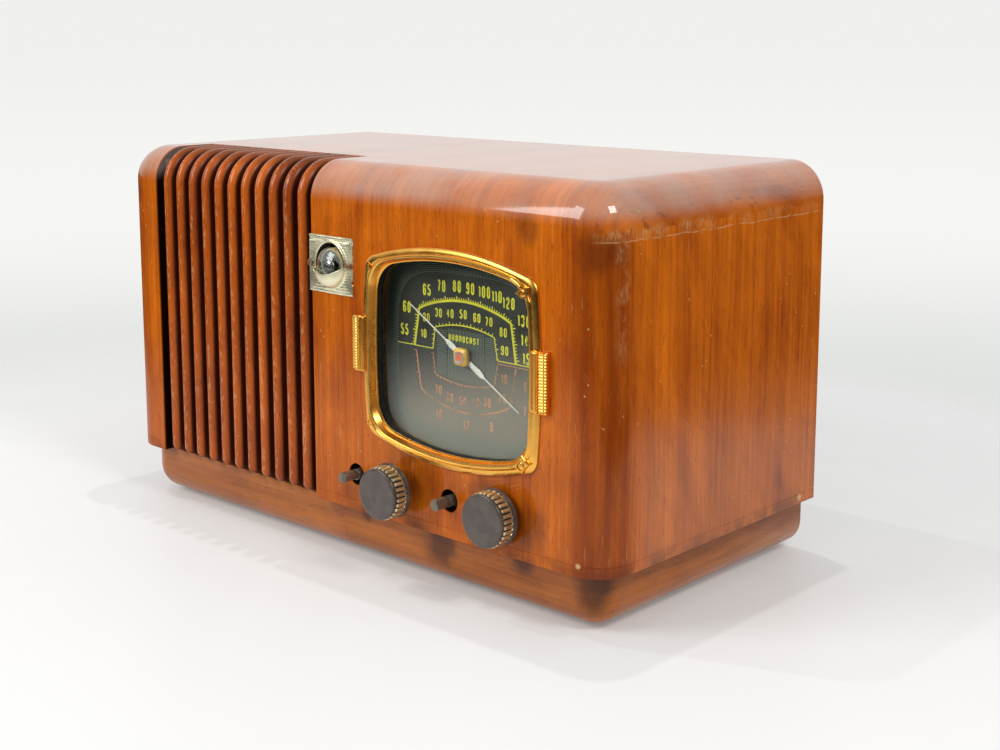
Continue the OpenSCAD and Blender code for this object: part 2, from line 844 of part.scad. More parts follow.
module chassis() {
    t = sheet_t;
    color("#a9a79f") in_frame() difference() {
        block([pan_x0, pan_x1], [pan_y0, pan_y1], [floor_z, pan_z]);
        block([pan_x0 + t, pan_x1 - t], [pan_y0 + t, pan_y1 - t], [floor_z + t, pan_z - t]);
        block([pan_x0 + t, pan_x1 - t], [pan_y0 + flange_front, pan_y1 - flange_back], [floor_z - cut, pan_z - t]);
        for (x = [tone_x, volume_x, band_x, tuning_x]) at(x, ctrl_z) rod_y(0, pan_y0 + 2 * t, bushing_r + 0.1);
        bolt_places() cylinder(h = 6 * board_t, r = bolt_r + 0.3, center = true);
        for (p = socket_holes) on_chassis(p) cylinder(h = 4 * t, r = socket_r - 4, center = true);
        at(grommet_x, grommet_z) rod_y(pan_y1 - 2 * t, pan_y1 + cut, grommet_r);
    }
}

module chassis_bolts() {
    head_r = 4.5;
    head_t = 3;
    nut_z = board_t + sheet_t;
    color("#97999b") in_frame() bolt_places() {
        translate([0, 0, -head_t]) cylinder(h = head_t, r = head_r);
        cylinder(h = nut_z + 4, r = bolt_r);
        translate([0, 0, nut_z]) difference() {
            cylinder(h = 2.4, r = 4, $fn = 6);
            translate([0, 0, -cut]) cylinder(h = 6, r = bolt_r + 0.05);
        }
    }
}

grommet_r = 6.5;
grommet_x = dial_x + 62;
grommet_z = floor_z + 16;

module cord_grommet() {
    t = sheet_t;
    color("#1f1d1c") in_frame() at(grommet_x, grommet_z) turned_y() difference() {
        translate([3.5, pan_y1 - t - 2]) square([grommet_r + 2 - 3.5, t + 4]);
        translate([grommet_r - 0.1, pan_y1 - t]) square([4, t]);
    }
}

module terminal_strip() {
    w = 46;
    h = 15;
    strip_t = 2;
    head_t = 4;
    head_r = 2.6;
    step = 13;
    rivet_in = 4;
    x = dial_x - 52;
    z = floor_z + pan_h / 2 + 1;
    color("#6e3f1f") in_frame() difference() {
        union() {
            block([x - w / 2, x + w / 2], [pan_y1, pan_y1 + strip_t], [z - h / 2, z + h / 2]);
            for (k = [-1, 0, 1]) at(x + k * step, z) rod_y(pan_y1 + strip_t, pan_y1 + strip_t + head_t, head_r);
        }
        for (k = [-1, 1]) at(x + k * (w / 2 - rivet_in), z) rod_y(pan_y1 - cut, pan_y1 + strip_t + cut, 1.6);
    }
}

module if_cans() {
    color("#b7b9ba") in_frame() for (p = [first_can_place, second_can_place]) on_chassis(p) difference() {
        translate([-if_can_w / 2, -if_can_w / 2, 0]) cube([if_can_w, if_can_w, if_can_h]);
        translate([0, 0, if_can_h]) cylinder(h = 4, r = 4, center = true);
    }
}

module filter_capacitor() {
    r = 17;
    h = 74;
    color("#a8aaab") in_frame() on_chassis(capacitor_place) {
        cylinder(h = 4, r = r + 1.5);
        translate([0, 0, 4]) cylinder(h = h, r = r);
    }
}

module power_transformer() {
    w = mains_w;
    d = mains_d;
    h = mains_h;
    bell = 14;
    rim = 3;
    bolt_in = 5;
    stud_r = 2.5;
    color("#3a3b3c") in_frame() on_chassis(transformer_place) {
        translate([-w / 2, -d / 2, 0]) cube([w, d, h]);
        translate([-w / 2 + rim, -d / 2 - bell, rim]) cube([w - 2 * rim, d + 2 * bell, h - 2 * rim]);
        for (sx = [-1, 1], z = [bolt_in, h - bolt_in])
            translate([sx * (w / 2 - bolt_in), -d / 2 - stud_r, z]) rotate([-90, 0, 0])
                cylinder(h = d + 2 * stud_r, r = stud_r);
    }
}

module tube_sockets() {
    color("#8a4a24") in_frame() for (p = socket_holes) on_chassis(p) difference() {
        cylinder(h = socket_t, r = socket_r);
        translate([0, 0, -cut]) cylinder(h = socket_t + 2 * cut, r = 3);
    }
}

// A shouldered glass bulb on a moulded base, standing on its socket
module glass_tube(h, r) {
    base_h = tube_base_h;
    base_r = tube_base_r;
    tip_r = 0.62 * r;
    rise = h - base_h;
    translate([0, 0, socket_t]) {
        cylinder(h = base_h, r = base_r);
        rotate_extrude() polygon([
            [0, base_h], [base_r - 1.5, base_h], [base_r - 1, base_h + 0.08 * rise], [r, base_h + 0.3 * rise],
            [r, base_h + 0.5 * rise], [tip_r + 1, base_h + 0.72 * rise], [tip_r, base_h + 0.78 * rise],
            [tip_r, base_h + 0.9 * rise], [0.7 * tip_r, base_h + 0.97 * rise], [0, base_h + rise]
        ]);
    }
}

module signal_tubes() {
    color([0.6, 0.62, 0.62, 0.6]) in_frame() for (p = [mixer_place, if_tube_place, detector_place])
        on_chassis(p) glass_tube(small_tube_h, small_tube_r);
}

module output_tube() {
    color([0.6, 0.62, 0.62, 0.6]) in_frame() on_chassis(output_place) glass_tube(large_tube_h, large_tube_r);
}

module rectifier_tube() {
    color([0.6, 0.62, 0.62, 0.6]) in_frame() on_chassis(rectifier_place) glass_tube(large_tube_h, large_tube_r);
}

// Tuning capacitor
rod_place = [-16.5, 20];

module gang_frame() {
    z0 = pan_z + gang_post;
    post_r = 4;
    post_in = 8;
    color("#a2a4a6") in_frame() difference() {
        union() {
            block([dial_x - gang_w / 2, dial_x + gang_w / 2], [gang_y0, gang_y1], [z0, z0 + gang_t]);
            for (y = [gang_y0, gang_y1 - gang_t])
                block([dial_x - gang_w / 2, dial_x + gang_w / 2], [y, y + gang_t], [z0, dial_z + plate_r + 3]);
            for (sx = [-1, 1], y = [gang_y0 + post_in, gang_y1 - post_in])
                translate([dial_x + sx * (gang_w / 2 - post_r - 2), y, pan_z])
                    cylinder(h = gang_post + gang_t, r = post_r);
        }
        at_dial() rod_y(gang_y0 - cut, gang_y1 + cut, bearing_r);
    }
}

module gang_stator() {
    leaf_half = plate_r - 0.5;
    color("#c4c6c7") in_frame() at_dial() {
        for (y0 = section_y, k = [0:plate_count - 2]) translate([0, y0 + (k + 0.5) * leaf_pitch, 0]) difference() {
            block([-gang_w / 2 + 1.5, -1], [0, leaf_t], [-leaf_half, leaf_half]);
            rod_y(-cut, leaf_t + cut, stator_clear_r);
        }
        for (sz = [-1, 1]) at(rod_place.x, sz * rod_place.y) rod_y(gang_y0 + gang_t, gang_y1 - gang_t, rod_r);
    }
}

module gang_rotor() {
    hub_y0 = gang_y0 + gang_t + free_gap;
    hub_y1 = gang_y1 - gang_t - free_gap;
    color("#d0d2d3") in_frame() at_tuner() {
        rod_y(tip_y + 0.4, gang_y1 + 2, shaft_r);
        difference() {
            rod_y(hub_y0, hub_y1, hub_r);
            rod_y(hub_y0 - cut, hub_y1 + cut, shaft_r - 0.5);
        }
        for (y0 = section_y, k = [0:plate_count - 1]) translate([0, y0 + k * leaf_pitch, 0]) difference() {
            rod_y(0, leaf_t, plate_r);
            rod_y(-cut, leaf_t + cut, shaft_r - 0.5);
            block([0, plate_r + cut], [-cut, leaf_t + cut], [-plate_r - cut, plate_r + cut]);
        }
    }
}

// Controls
module shaft_bar(front, back) {
    rod_y(-front, back, shaft_r);
}

module bare_shaft() {
    groove = 1;
    difference() {
        shaft_bar(shaft_reach, shaft_end);
        block([flat_share * shaft_r, shaft_r + cut], [-shaft_reach - cut, -shaft_reach + flat_len], [-shaft_r, shaft_r]);
        translate([0, -shaft_reach + flat_len, 0]) difference() {
            rod_y(0, groove, shaft_r + cut);
            rod_y(-cut, groove + cut, shaft_r - 0.6);
        }
    }
}

module tone_shaft() {
    color("#9c8455") in_frame() at(tone_x, ctrl_z) rotate([0, 60, 0]) bare_shaft();
}

module band_shaft() {
    color("#9c8455") in_frame() at(band_x, ctrl_z) rotate([0, -20, 0]) bare_shaft();
}

module volume_shaft() {
    color("#9c8455") in_frame() at(volume_x, ctrl_z) shaft_bar(knob_reach + volume_out - 2.2, shaft_end);
}

module tuning_shaft() {
    clip_y = bearing_end + free_gap;
    clip_r = 5.5;
    collar_r = 6;
    collar_y = drive_y - 3.2;
    color("#9c8455") in_frame() at(tuning_x, ctrl_z) {
        shaft_bar(knob_reach - 2.2, bearing_end + 5);
        rod_y(clip_y, clip_y + sheet_t, clip_r);
        rod_y(collar_y, collar_y + 1.4, collar_r);
    }
}

// A coin edge: a circle whose rim steps in and out
function coin_edge(r, depth, count) =
    [for (k = [0:4 * count - 1]) let (angle = (k + 0.5) * 90 / count, at_r = k % 4 < 2 ? r : r - depth)
        at_r * [cos(angle), sin(angle)]];

// A knob with a flat face, a coin-edged band and a thin rear flange
module knob() {
    notches = 32;
    notch_depth = 0.8;
    face_t = 4;
    band_w = 6;
    flange_t = 1;
    bevel = 1;
    bore_depth = 2;
    band_y0 = -knob_reach + face_t;
    band_y1 = band_y0 + band_w;
    rear_y = band_y1 + flange_t;
    r = knob_d / 2;
    difference() {
        union() {
            turned_y() polygon([
                [0, -knob_reach], [r - bevel, -knob_reach], [r, -knob_reach + bevel], [r, band_y0], [0, band_y0]
            ]);
            plate_y(band_y0, band_y1) polygon(coin_edge(r - 0.4, notch_depth, notches));
            rod_y(band_y1, rear_y, r + 0.8);
        }
        rod_y(-knob_reach + bore_depth, rear_y + cut, shaft_r + 0.02);
    }
}

module volume_knob() {
    color("#4a3b32") in_frame() at(volume_x, ctrl_z) translate([0, -volume_out, 0]) knob();
}

module tuning_knob() {
    color("#4a3b32") in_frame() at(tuning_x, ctrl_z) knob();
}

module control_case(len) {
    y0 = pan_y0 + sheet_t;
    difference() {
        union() {
            rod_y(bushing_y, y0, bushing_r);
            rod_y(y0, y0 + len, pot_case_r);
        }
        rod_y(bushing_y - cut, shaft_end + free_gap, bearing_r);
    }
}

module volume_control() {
    switch_len = 10;
    color("#77797b") in_frame() at(volume_x, ctrl_z) control_case(pot_case_len + switch_len);
}

module tone_control() {
    color("#77797b") in_frame() at(tone_x, ctrl_z) control_case(pot_case_len);
}

module band_switch() {
    y0 = pan_y0 + sheet_t;
    index_w = 34;
    index_h = 24;
    index_t = 3;
    wafer_y = y0 + 10;
    wafer_t = 1.6;
    post_dx = 11;
    post_r = 1.6;
    color("#8a6a3c") in_frame() at(band_x, ctrl_z) difference() {
        union() {
            rod_y(bushing_y, y0, bushing_r);
            block([-index_w / 2, index_w / 2], [y0, y0 + index_t], [-index_h / 2, index_h / 2]);
            rod_y(wafer_y, wafer_y + wafer_t, pot_case_r);
            for (sx = [-1, 1]) translate([sx * post_dx, 0, 0]) rod_y(y0, wafer_y + 2 * wafer_t, post_r);
        }
        rod_y(bushing_y - cut, shaft_end + free_gap, bearing_r);
    }
}

// The nuts on the three controls, and the flanged bearing of the tuning shaft
module shaft_nuts() {
    y0 = pan_y0 - nut_t;
    color("#b08d4a") in_frame() {
        for (x = [tone_x, volume_x, band_x]) at(x, ctrl_z) difference() {
            translate([0, y0, 0]) rotate([-90, 0, 0]) cylinder(h = nut_t, r = nut_r, $fn = 6);
            rod_y(y0 - cut, pan_y0 + cut, bushing_r + 0.05);
        }
        at(tuning_x, ctrl_z) difference() {
            union() {
                rod_y(pan_y0 - bearing_flange_t, pan_y0, nut_r);
                rod_y(pan_y0, bearing_end, bushing_r);
            }
            rod_y(pan_y0 - bearing_flange_t - cut, bearing_end + cut, bearing_r);
        }
    }
}

for (i = [1:bar_count]) grille_bar(i);
cabinet_shell();
grille_cloth();
baffle_board();
plinth();
bottom_board();
felt_feet();
dial_escutcheon();
escutcheon_screws();
dial_glass();
dial_plate();
dial_bracket();
lamp_sockets();
dial_lamps();
dial_pointer();
dial_drum();
dial_cord();
eye_plate();
eye_plate_screws();
eye_tube();
eye_clamp();
speaker_basket();
speaker_cone();
speaker_magnet();
output_transformer();
speaker_screws();
chassis();
chassis_bolts();
terminal_strip();
cord_grommet();
gang_frame();
gang_stator();
gang_rotor();
tuning_shaft();
tuning_knob();
volume_control();
volume_shaft();
volume_knob();
tone_control();
tone_shaft();
band_switch();
band_shaft();
shaft_nuts();
tube_sockets();
signal_tubes();
output_tube();
rectifier_tube();
power_transformer();
if_cans();
filter_capacitor();
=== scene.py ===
import json
import math
import random

import bmesh
import bpy
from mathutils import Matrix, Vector


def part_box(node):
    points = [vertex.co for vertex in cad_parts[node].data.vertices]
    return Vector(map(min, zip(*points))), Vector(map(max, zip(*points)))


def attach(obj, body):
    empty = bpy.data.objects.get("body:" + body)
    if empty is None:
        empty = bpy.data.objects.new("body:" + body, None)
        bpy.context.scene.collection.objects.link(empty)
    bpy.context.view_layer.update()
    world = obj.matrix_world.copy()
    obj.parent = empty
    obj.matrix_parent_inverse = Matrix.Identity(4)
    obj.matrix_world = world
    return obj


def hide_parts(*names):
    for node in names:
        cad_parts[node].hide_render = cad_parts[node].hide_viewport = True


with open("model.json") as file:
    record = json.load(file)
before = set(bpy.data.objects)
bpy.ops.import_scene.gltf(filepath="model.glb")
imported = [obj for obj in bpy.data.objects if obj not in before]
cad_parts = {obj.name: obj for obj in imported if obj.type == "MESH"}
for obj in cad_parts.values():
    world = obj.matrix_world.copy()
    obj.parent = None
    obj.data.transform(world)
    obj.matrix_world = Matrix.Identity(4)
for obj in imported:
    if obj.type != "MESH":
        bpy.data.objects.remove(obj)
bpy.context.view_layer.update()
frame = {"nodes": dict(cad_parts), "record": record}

MM = 0.001

# Places and sizes from the frame, in millimetres. Depth counts from the front panel's face.
front_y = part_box("cabinet_shell")[0].y


def across(node):
    """Lowest and highest X, depth and Z of a node, in millimetres."""
    lo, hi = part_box(node)
    return ((lo.x / MM, hi.x / MM), ((lo.y - front_y) / MM, (hi.y - front_y) / MM), (lo.z / MM, hi.z / MM))


def middle(node):
    (x0, x1), _, (z0, z1) = across(node)
    return (x0 + x1) / 2, (z0 + z1) / 2


(side_x0, side_x1), _, (body_z0, body_h) = across("cabinet_shell")
body_w = side_x1 - side_x0
edge_r = 22.0
wall = 9.0
bar_count = 11
bar_spans = [across(f"grille_bar_{i + 1}") for i in range(bar_count)]
grille_depth = bar_spans[0][1][1]
bar_foot_z = bar_spans[0][2][0]
dial_x, dial_z = middle("dial_glass")
dial_face = across("dial_plate")[1][0]
print_x, print_z = 1.2, 0.3  # how far the printed scales sit off the window's middle
eye_x, eye_z = middle("eye_plate")
volume_x, control_z = middle("volume_knob")
tuning_x = middle("tuning_knob")[0]
tone_x = middle("tone_shaft")[0]
band_x = middle("band_shaft")[0]


# Mesh helpers
def place(x, depth, z):
    return Vector((x * MM, front_y + depth * MM, z * MM))


def add_object(name, data):
    obj = bpy.data.objects.new(name, data)
    bpy.context.scene.collection.objects.link(obj)
    return obj


def add_piece(name, shape, finish, nodes=(), body="cabinet", smooth=True, crisp=None):
    """A new mesh piece. shape: its points, given as (x, depth, z) in millimetres, and its faces."""
    mesh = bpy.data.meshes.new(name)
    mesh.from_pydata([place(*v) for v in shape[0]], [], shape[1])
    mesh.update()
    bm = bmesh.new()
    bm.from_mesh(mesh)
    bmesh.ops.recalc_face_normals(bm, faces=bm.faces)
    bm.to_mesh(mesh)
    bm.free()
    obj = finish_piece(name, mesh, finish, nodes, body, smooth)
    if crisp:
        smooth_by_angle(obj, crisp)
    return obj


def finish_piece(name, mesh, finish, nodes=(), body="cabinet", smooth=True):
    obj = add_object(name, mesh)
    mesh.materials.clear()
    mesh.materials.append(finishes[finish])
    for face in mesh.polygons:
        face.use_smooth = smooth
    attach(obj, body)
    if nodes:
        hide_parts(*nodes)
    return obj


def smooth_by_angle(obj, degrees):
    """Marks edges that are sharper than the angle, so that they stay crisp on a smooth mesh."""
    bm = bmesh.new()
    bm.from_mesh(obj.data)
    for edge in bm.edges:
        edge.smooth = len(edge.link_faces) == 2 and edge.calc_face_angle(0) < math.radians(degrees)
    bm.to_mesh(obj.data)
    bm.free()


def round_edges(obj, width, segments=3, angle=35, weighted=False):
    bevel = obj.modifiers.new("rounded edges", "BEVEL")
    bevel.width = width * MM
    bevel.segments = segments
    bevel.limit_method = "WEIGHT" if weighted else "ANGLE"
    bevel.angle_limit = math.radians(angle)
    bevel.use_clamp_overlap = True
    bevel.harden_normals = True
    bevel.miter_outer = "MITER_ARC"


def clean_copy(node):
    """A copy of a CAD node's mesh with its corners joined and its flat faces whole."""
    bm = bmesh.new()
    bm.from_mesh(frame["nodes"][node].data)
    bmesh.ops.remove_doubles(bm, verts=bm.verts, dist=1e-6)
    bmesh.ops.dissolve_limit(bm, angle_limit=math.radians(0.4), verts=bm.verts, edges=bm.edges)
    return bm


def mesh_from(name, bm):
    mesh = bpy.data.meshes.new(name)
    bm.to_mesh(mesh)
    bm.free()
    return mesh


def softened(name, node, width, segments=2, body="cabinet"):
    """Stands for a CAD node in the same shape and finish, with its sharp edges rounded."""
    obj = finish_piece(name, mesh_from(name, clean_copy(node)), slot_of[node], [node], body)
    round_edges(obj, width, segments)


def loft(rings, closed_ring=True, closed_loft=False):
    """Points and faces between rings of equal numbers of points."""
    n = len(rings[0])
    verts = [p for ring in rings for p in ring]
    faces = []
    for k in range(len(rings) if closed_loft else len(rings) - 1):
        a, b = k * n, (k + 1) % len(rings) * n
        for i in range(n if closed_ring else n - 1):
            j = (i + 1) % n
            faces.append((a + i, a + j, b + j, b + i))
    return verts, faces


def capped(shape, n):
    """The same shape with its first and its last ring of n points closed by a face."""
    verts, faces = shape
    return verts, faces + [tuple(range(n)), tuple(range(len(verts) - n, len(verts)))]


def join_parts(parts):
    verts, faces = [], []
    for part_verts, part_faces in parts:
        base = len(verts)
        verts += part_verts
        faces += [tuple(base + i for i in face) for face in part_faces]
    return verts, faces


def circle(steps):
    """Cosine and sine of evenly spread directions."""
    return [(math.cos(2 * math.pi * k / steps), math.sin(2 * math.pi * k / steps)) for k in range(steps)]


def turned(profile, x, z, steps=64, start=0.0, closed=False):
    """A shape turned about an axis straight back through (x, z). profile: (radius, depth from start)."""
    return loft([[(x + r * c, start + y, z + r * s) for c, s in circle(steps)] for r, y in profile],
                closed_loft=closed)


def stood(profile, x, depth, steps=48):
    """A shape turned about an upright axis. profile: (radius, z)."""
    return loft([[(x + r * c, depth + r * s, z) for c, s in circle(steps)] for r, z in profile])


# Node helpers
def arithmetic(operation, swapped=False):
    def work(self, other=0.0):
        return self.nodes.math(operation, *((other, self) if swapped else (self, other)))
    return work


class Value:
    """What a node puts out. Values add, multiply and compare as numbers do, each step as a Math node."""

    def __init__(self, nodes, socket):
        self.nodes = nodes
        self.socket = socket

    __add__ = __radd__ = arithmetic("ADD")
    __mul__ = __rmul__ = arithmetic("MULTIPLY")
    __sub__, __rsub__ = arithmetic("SUBTRACT"), arithmetic("SUBTRACT", True)
    __truediv__, __pow__, __abs__ = arithmetic("DIVIDE"), arithmetic("POWER"), arithmetic("ABSOLUTE")
    __gt__, __lt__ = arithmetic("GREATER_THAN"), arithmetic("LESS_THAN")


class Nodes:
    """Adds nodes to a tree and joins them."""

    def __init__(self, tree):
        self.tree = tree

    def add(self, kind, inputs=None, **settings):
        node = self.tree.nodes.new(kind)
        for key, value in settings.items():
            setattr(node, key, value)
        for key, value in (inputs or {}).items():
            self.feed(node.inputs[key], value)
        return node

    def values(self, node):
        return {socket.name: Value(self, socket) for socket in node.outputs}

    def first(self, node):
        return Value(self, node.outputs[0])

    def feed(self, socket, value):
        if isinstance(value, Value):
            self.tree.links.new(value.socket, socket)
        elif socket.type == "RGBA" and len(value) == 3:
            socket.default_value = (*value, 1)
        else:
            socket.default_value = value

    def math(self, operation, a, b=0.0, clamp=False):
        return self.first(self.add("ShaderNodeMath", {0: a, 1: b}, operation=operation, use_clamp=clamp))

    def most(self, first, *others):
        for other in others:
            first = self.math("MAXIMUM", first, other)
        return first

    def least(self, a, b):
        return self.math("MINIMUM", a, b)

    def root(self, a):
        return self.math("SQRT", a)

    def stretch(self, vector, x, y, z):
        return self.first(self.add("ShaderNodeVectorMath", {0: vector, 1: (x, y, z)}, operation="MULTIPLY"))

    def distance(self, vector, point=(0, 0, 0)):
        node = self.add("ShaderNodeVectorMath", {0: vector, 1: point}, operation="DISTANCE")
        return Value(self, node.outputs["Value"])

    def noise(self, vector, scale, detail=3.0, rough=0.5, distort=0.0):
        return self.first(self.add("ShaderNodeTexNoise", {
            "Vector": vector, "Scale": scale, "Detail": detail, "Roughness": rough, "Distortion": distort}))

    def span(self, value, low, high, to_low=0.0, to_high=1.0, smooth=True):
        return self.first(self.add(
            "ShaderNodeMapRange",
            {"Value": value, "From Min": low, "From Max": high, "To Min": to_low, "To Max": to_high},
            interpolation_type="SMOOTHSTEP" if smooth else "LINEAR"))

    def cloudy(self, at, scale, low, high, detail=3.0):
        """A value between low and high that changes in soft clouds."""
        return self.span(self.noise(at, scale, detail), 0.3, 0.7, low, high)

    def mix(self, amount, a, b):
        node = self.add("ShaderNodeMix", {0: amount, 6: a, 7: b}, data_type="RGBA")
        return Value(self, node.outputs[2])

    def choose(self, amount, a, b):
        """The same for plain values: a where the amount is 0 and b where it is 1."""
        return self.first(self.add("ShaderNodeMix", {0: amount, 2: a, 3: b}))

    def split(self, vector):
        return [Value(self, socket) for socket in self.add("ShaderNodeSeparateXYZ", {0: vector}).outputs]

    def join(self, x=0.0, y=0.0, z=0.0):
        return self.first(self.add("ShaderNodeCombineXYZ", {0: x, 1: y, 2: z}))

    def place(self):
        return self.values(self.add("ShaderNodeTexCoord"))["Object"]

    def bump(self, height, strength, distance):
        return self.first(self.add(
            "ShaderNodeBump", {"Height": height, "Strength": strength, "Distance": distance}))


SOCKETS = {"colour": "NodeSocketColor", "value": "NodeSocketFloat", "vector": "NodeSocketVector"}
made_groups = {}


def shader_group(name, takes, gives, build):
    """A node group with named sockets. takes: {name: (kind, default)}, gives: {name: kind}."""
    tree = bpy.data.node_groups.new(name, "ShaderNodeTree")
    for label, (kind, default) in takes.items():
        socket = tree.interface.new_socket(name=label, in_out="INPUT", socket_type=SOCKETS[kind])
        socket.default_value = (*default, 1) if kind == "colour" else default
    for label, kind in gives.items():
        tree.interface.new_socket(name=label, in_out="OUTPUT", socket_type=SOCKETS[kind])
    n = Nodes(tree)
    inside = n.values(n.add("NodeGroupInput"))
    outside = n.add("NodeGroupOutput").inputs
    for label, value in build(n, inside).items():
        n.feed(outside[label], value)
    made_groups[name] = tree


def use_group(n, name, **values):
    return n.values(n.add("ShaderNodeGroup", values, node_tree=made_groups[name]))


def material(name, build, **constants):
    """A material with one Principled BSDF. build returns what feeds its sockets."""
    made = bpy.data.materials.new(name)
    made.use_nodes = True
    n = Nodes(made.node_tree)
    shader = made.node_tree.nodes["Principled BSDF"]
    for key, value in constants.items():
        n.feed(shader.inputs[key.replace("_", " ")], value)
    for key, value in build(n).items():
        n.feed(shader.inputs[key], value)
    return made


# Effects that several finishes share
def build_wood_figure(n, inside):
    """Straight grain: slow bands, fine streaks, short pores along the board and mottled patches of tone."""
    u, v = inside["Across"], inside["Along"]
    wobble = n.noise(n.join(u * 9, v * 5), 1.0, 2) * 0.01
    u2 = u + wobble
    broad = n.noise(n.join(u2 * 60, v * 2.2, 3.1), 1.0, 3, 0.55)
    streak = n.noise(n.join(u2 * 480, v * 12, 7.7), 1.0, 4, 0.65)
    pore = n.noise(n.join(u2 * 2100, v * 170, 1.3), 1.0, 2, 0.5)
    cloud = n.noise(n.join(u * 26, v * 20, 5.0), 1.0, 5, 0.6, 0.6)
    tone = n.span(broad * 0.38 + streak * 0.3 + cloud * 0.32, 0.33, 0.65, smooth=False)
    pores = n.span(pore, 0.6, 0.7)
    colour = n.mix(tone, inside["Dark"], inside["Light"])
    colour = n.mix(pores * 0.5, colour, n.mix(0.55, inside["Dark"], (0.02, 0.004, 0.001)))
    height = streak * 0.3 - pores * 0.5
    return {"Colour": colour, "Tone": tone, "Height": height}


shader_group(
    "wood figure",
    {"Across": ("value", 0.0), "Along": ("value", 0.0), "Dark": ("colour", (0.1, 0.03, 0.01)),
     "Light": ("colour", (0.4, 0.13, 0.04))},
    {"Colour": "colour", "Tone": "value", "Height": "value"}, build_wood_figure)


def build_scratches(n, inside):
    """Fine short scratches in two directions and small pits in the lacquer, none where Amount is 0."""
    at = inside["Place"]
    down = n.noise(n.stretch(at, 2200, 2200, 60), 1.0, 1)
    x, y, z = n.split(at)
    slant = n.join((x + y + z * 0.9) * 2200, 0.0, (z - (x + y)) * 45)
    gate = n.span(n.noise(at, 35.0, 3), 0.46, 0.66)
    line = n.most(n.span(down, 0.7, 0.77) * gate, n.span(n.noise(slant, 1.0, 1), 0.72, 0.78) * gate)
    cells = n.first(n.add("ShaderNodeTexVoronoi", {"Vector": at, "Scale": 150.0}))
    pit = n.span(cells, 0.06, 0.1, 1.0, 0.0) * n.span(n.noise(at, 27.0, 1), 0.5, 0.6)
    mask = n.math("MULTIPLY", n.most(line, pit), inside["Amount"], clamp=True)
    return {"Mask": mask}


shader_group(
    "lacquer scratches", {"Place": ("vector", (0, 0, 0)), "Amount": ("value", 1.0)}, {"Mask": "value"},
    build_scratches)


def build_metal_age(n, inside):
    """Cloudy tarnish and small dark specks on a metal surface."""
    at = inside["Place"]
    cloud = n.span(n.noise(at, inside["Scale"], 4, 0.6), 0.42, 0.68)
    speck = n.span(n.noise(at, inside["Scale"] * 9.0, 2), 0.62, 0.72)
    amount = n.math("MULTIPLY", n.most(cloud * 0.6, speck), inside["Amount"], clamp=True)
    return {"Colour": n.mix(amount, inside["Clean"], inside["Tarnish"]), "Mask": amount}


shader_group(
    "metal age",
    {"Place": ("vector", (0, 0, 0)), "Scale": ("value", 60.0), "Amount": ("value", 0.5),
     "Clean": ("colour", (0.8, 0.6, 0.3)), "Tarnish": ("colour", (0.2, 0.12, 0.05))},
    {"Colour": "colour", "Mask": "value"}, build_metal_age)


def grain(n, across_board, along_board, dark, light):
    return use_group(n, "wood figure", Across=across_board, Along=along_board, Dark=dark, Light=light)


def scratches(n, at, amount=0.8):
    return use_group(n, "lacquer scratches", Place=at, Amount=amount)["Mask"]


def aged(n, at, scale, amount, clean, tarnish):
    return use_group(n, "metal age", Place=at, Scale=scale, Amount=amount, Clean=clean, Tarnish=tarnish)


# Finishes
seam_z = 205.5  # where the top's veneer ends on the sides
bore_r = 6.8  # just past the wall of a control's hole
opening_x0, opening_x1 = -168.5, -11.8  # the grille's opening
lining_x = body_w / 2 - wall - 2.5  # half the width of the bare ply inside
WOOD_DARK = (0.22, 0.029, 0.0006)
WOOD_LIGHT = (0.66, 0.158, 0.0035)
# colour of stains, and of painted shade beside the knobs on the veneer
STAIN_AND_SHADE = (0.05, 0.012, 0.004)
CHIP = (0.6, 0.37, 0.17)


def near(n, at, centre, radius, rough=0.35):
    """A soft-edged patch round a point given as (x, depth, z) in millimetres."""
    ragged = (n.noise(at, 70.0, 4, 0.6) - 0.5) * (radius * MM * rough * 3)
    return n.span(n.distance(at, place(*centre)) + ragged, radius * MM * 1.25, radius * MM * 0.35)


def wrap_coordinates(n):
    """Along and across the veneer: up the front and sides, and front to back over the top."""
    at = n.place()
    x, y, z = n.split(at)
    behind = y - front_y
    wrapped = x + n.math("SIGN", x) * behind
    on_top = z > (seam_z + 0.7) * MM + n.noise(at, 30.0) * 0.001
    return at, n.choose(on_top, wrapped, x), z + behind, on_top, behind


def under_skin(n, behind, z):
    """How far a point lies below the cabinet's front, its bent edge and its top."""
    past = n.most(edge_r * MM - behind, 0.0)
    over = n.most(z - (body_h - edge_r) * MM, 0.0)
    return edge_r * MM - n.root(past * past + over * over)


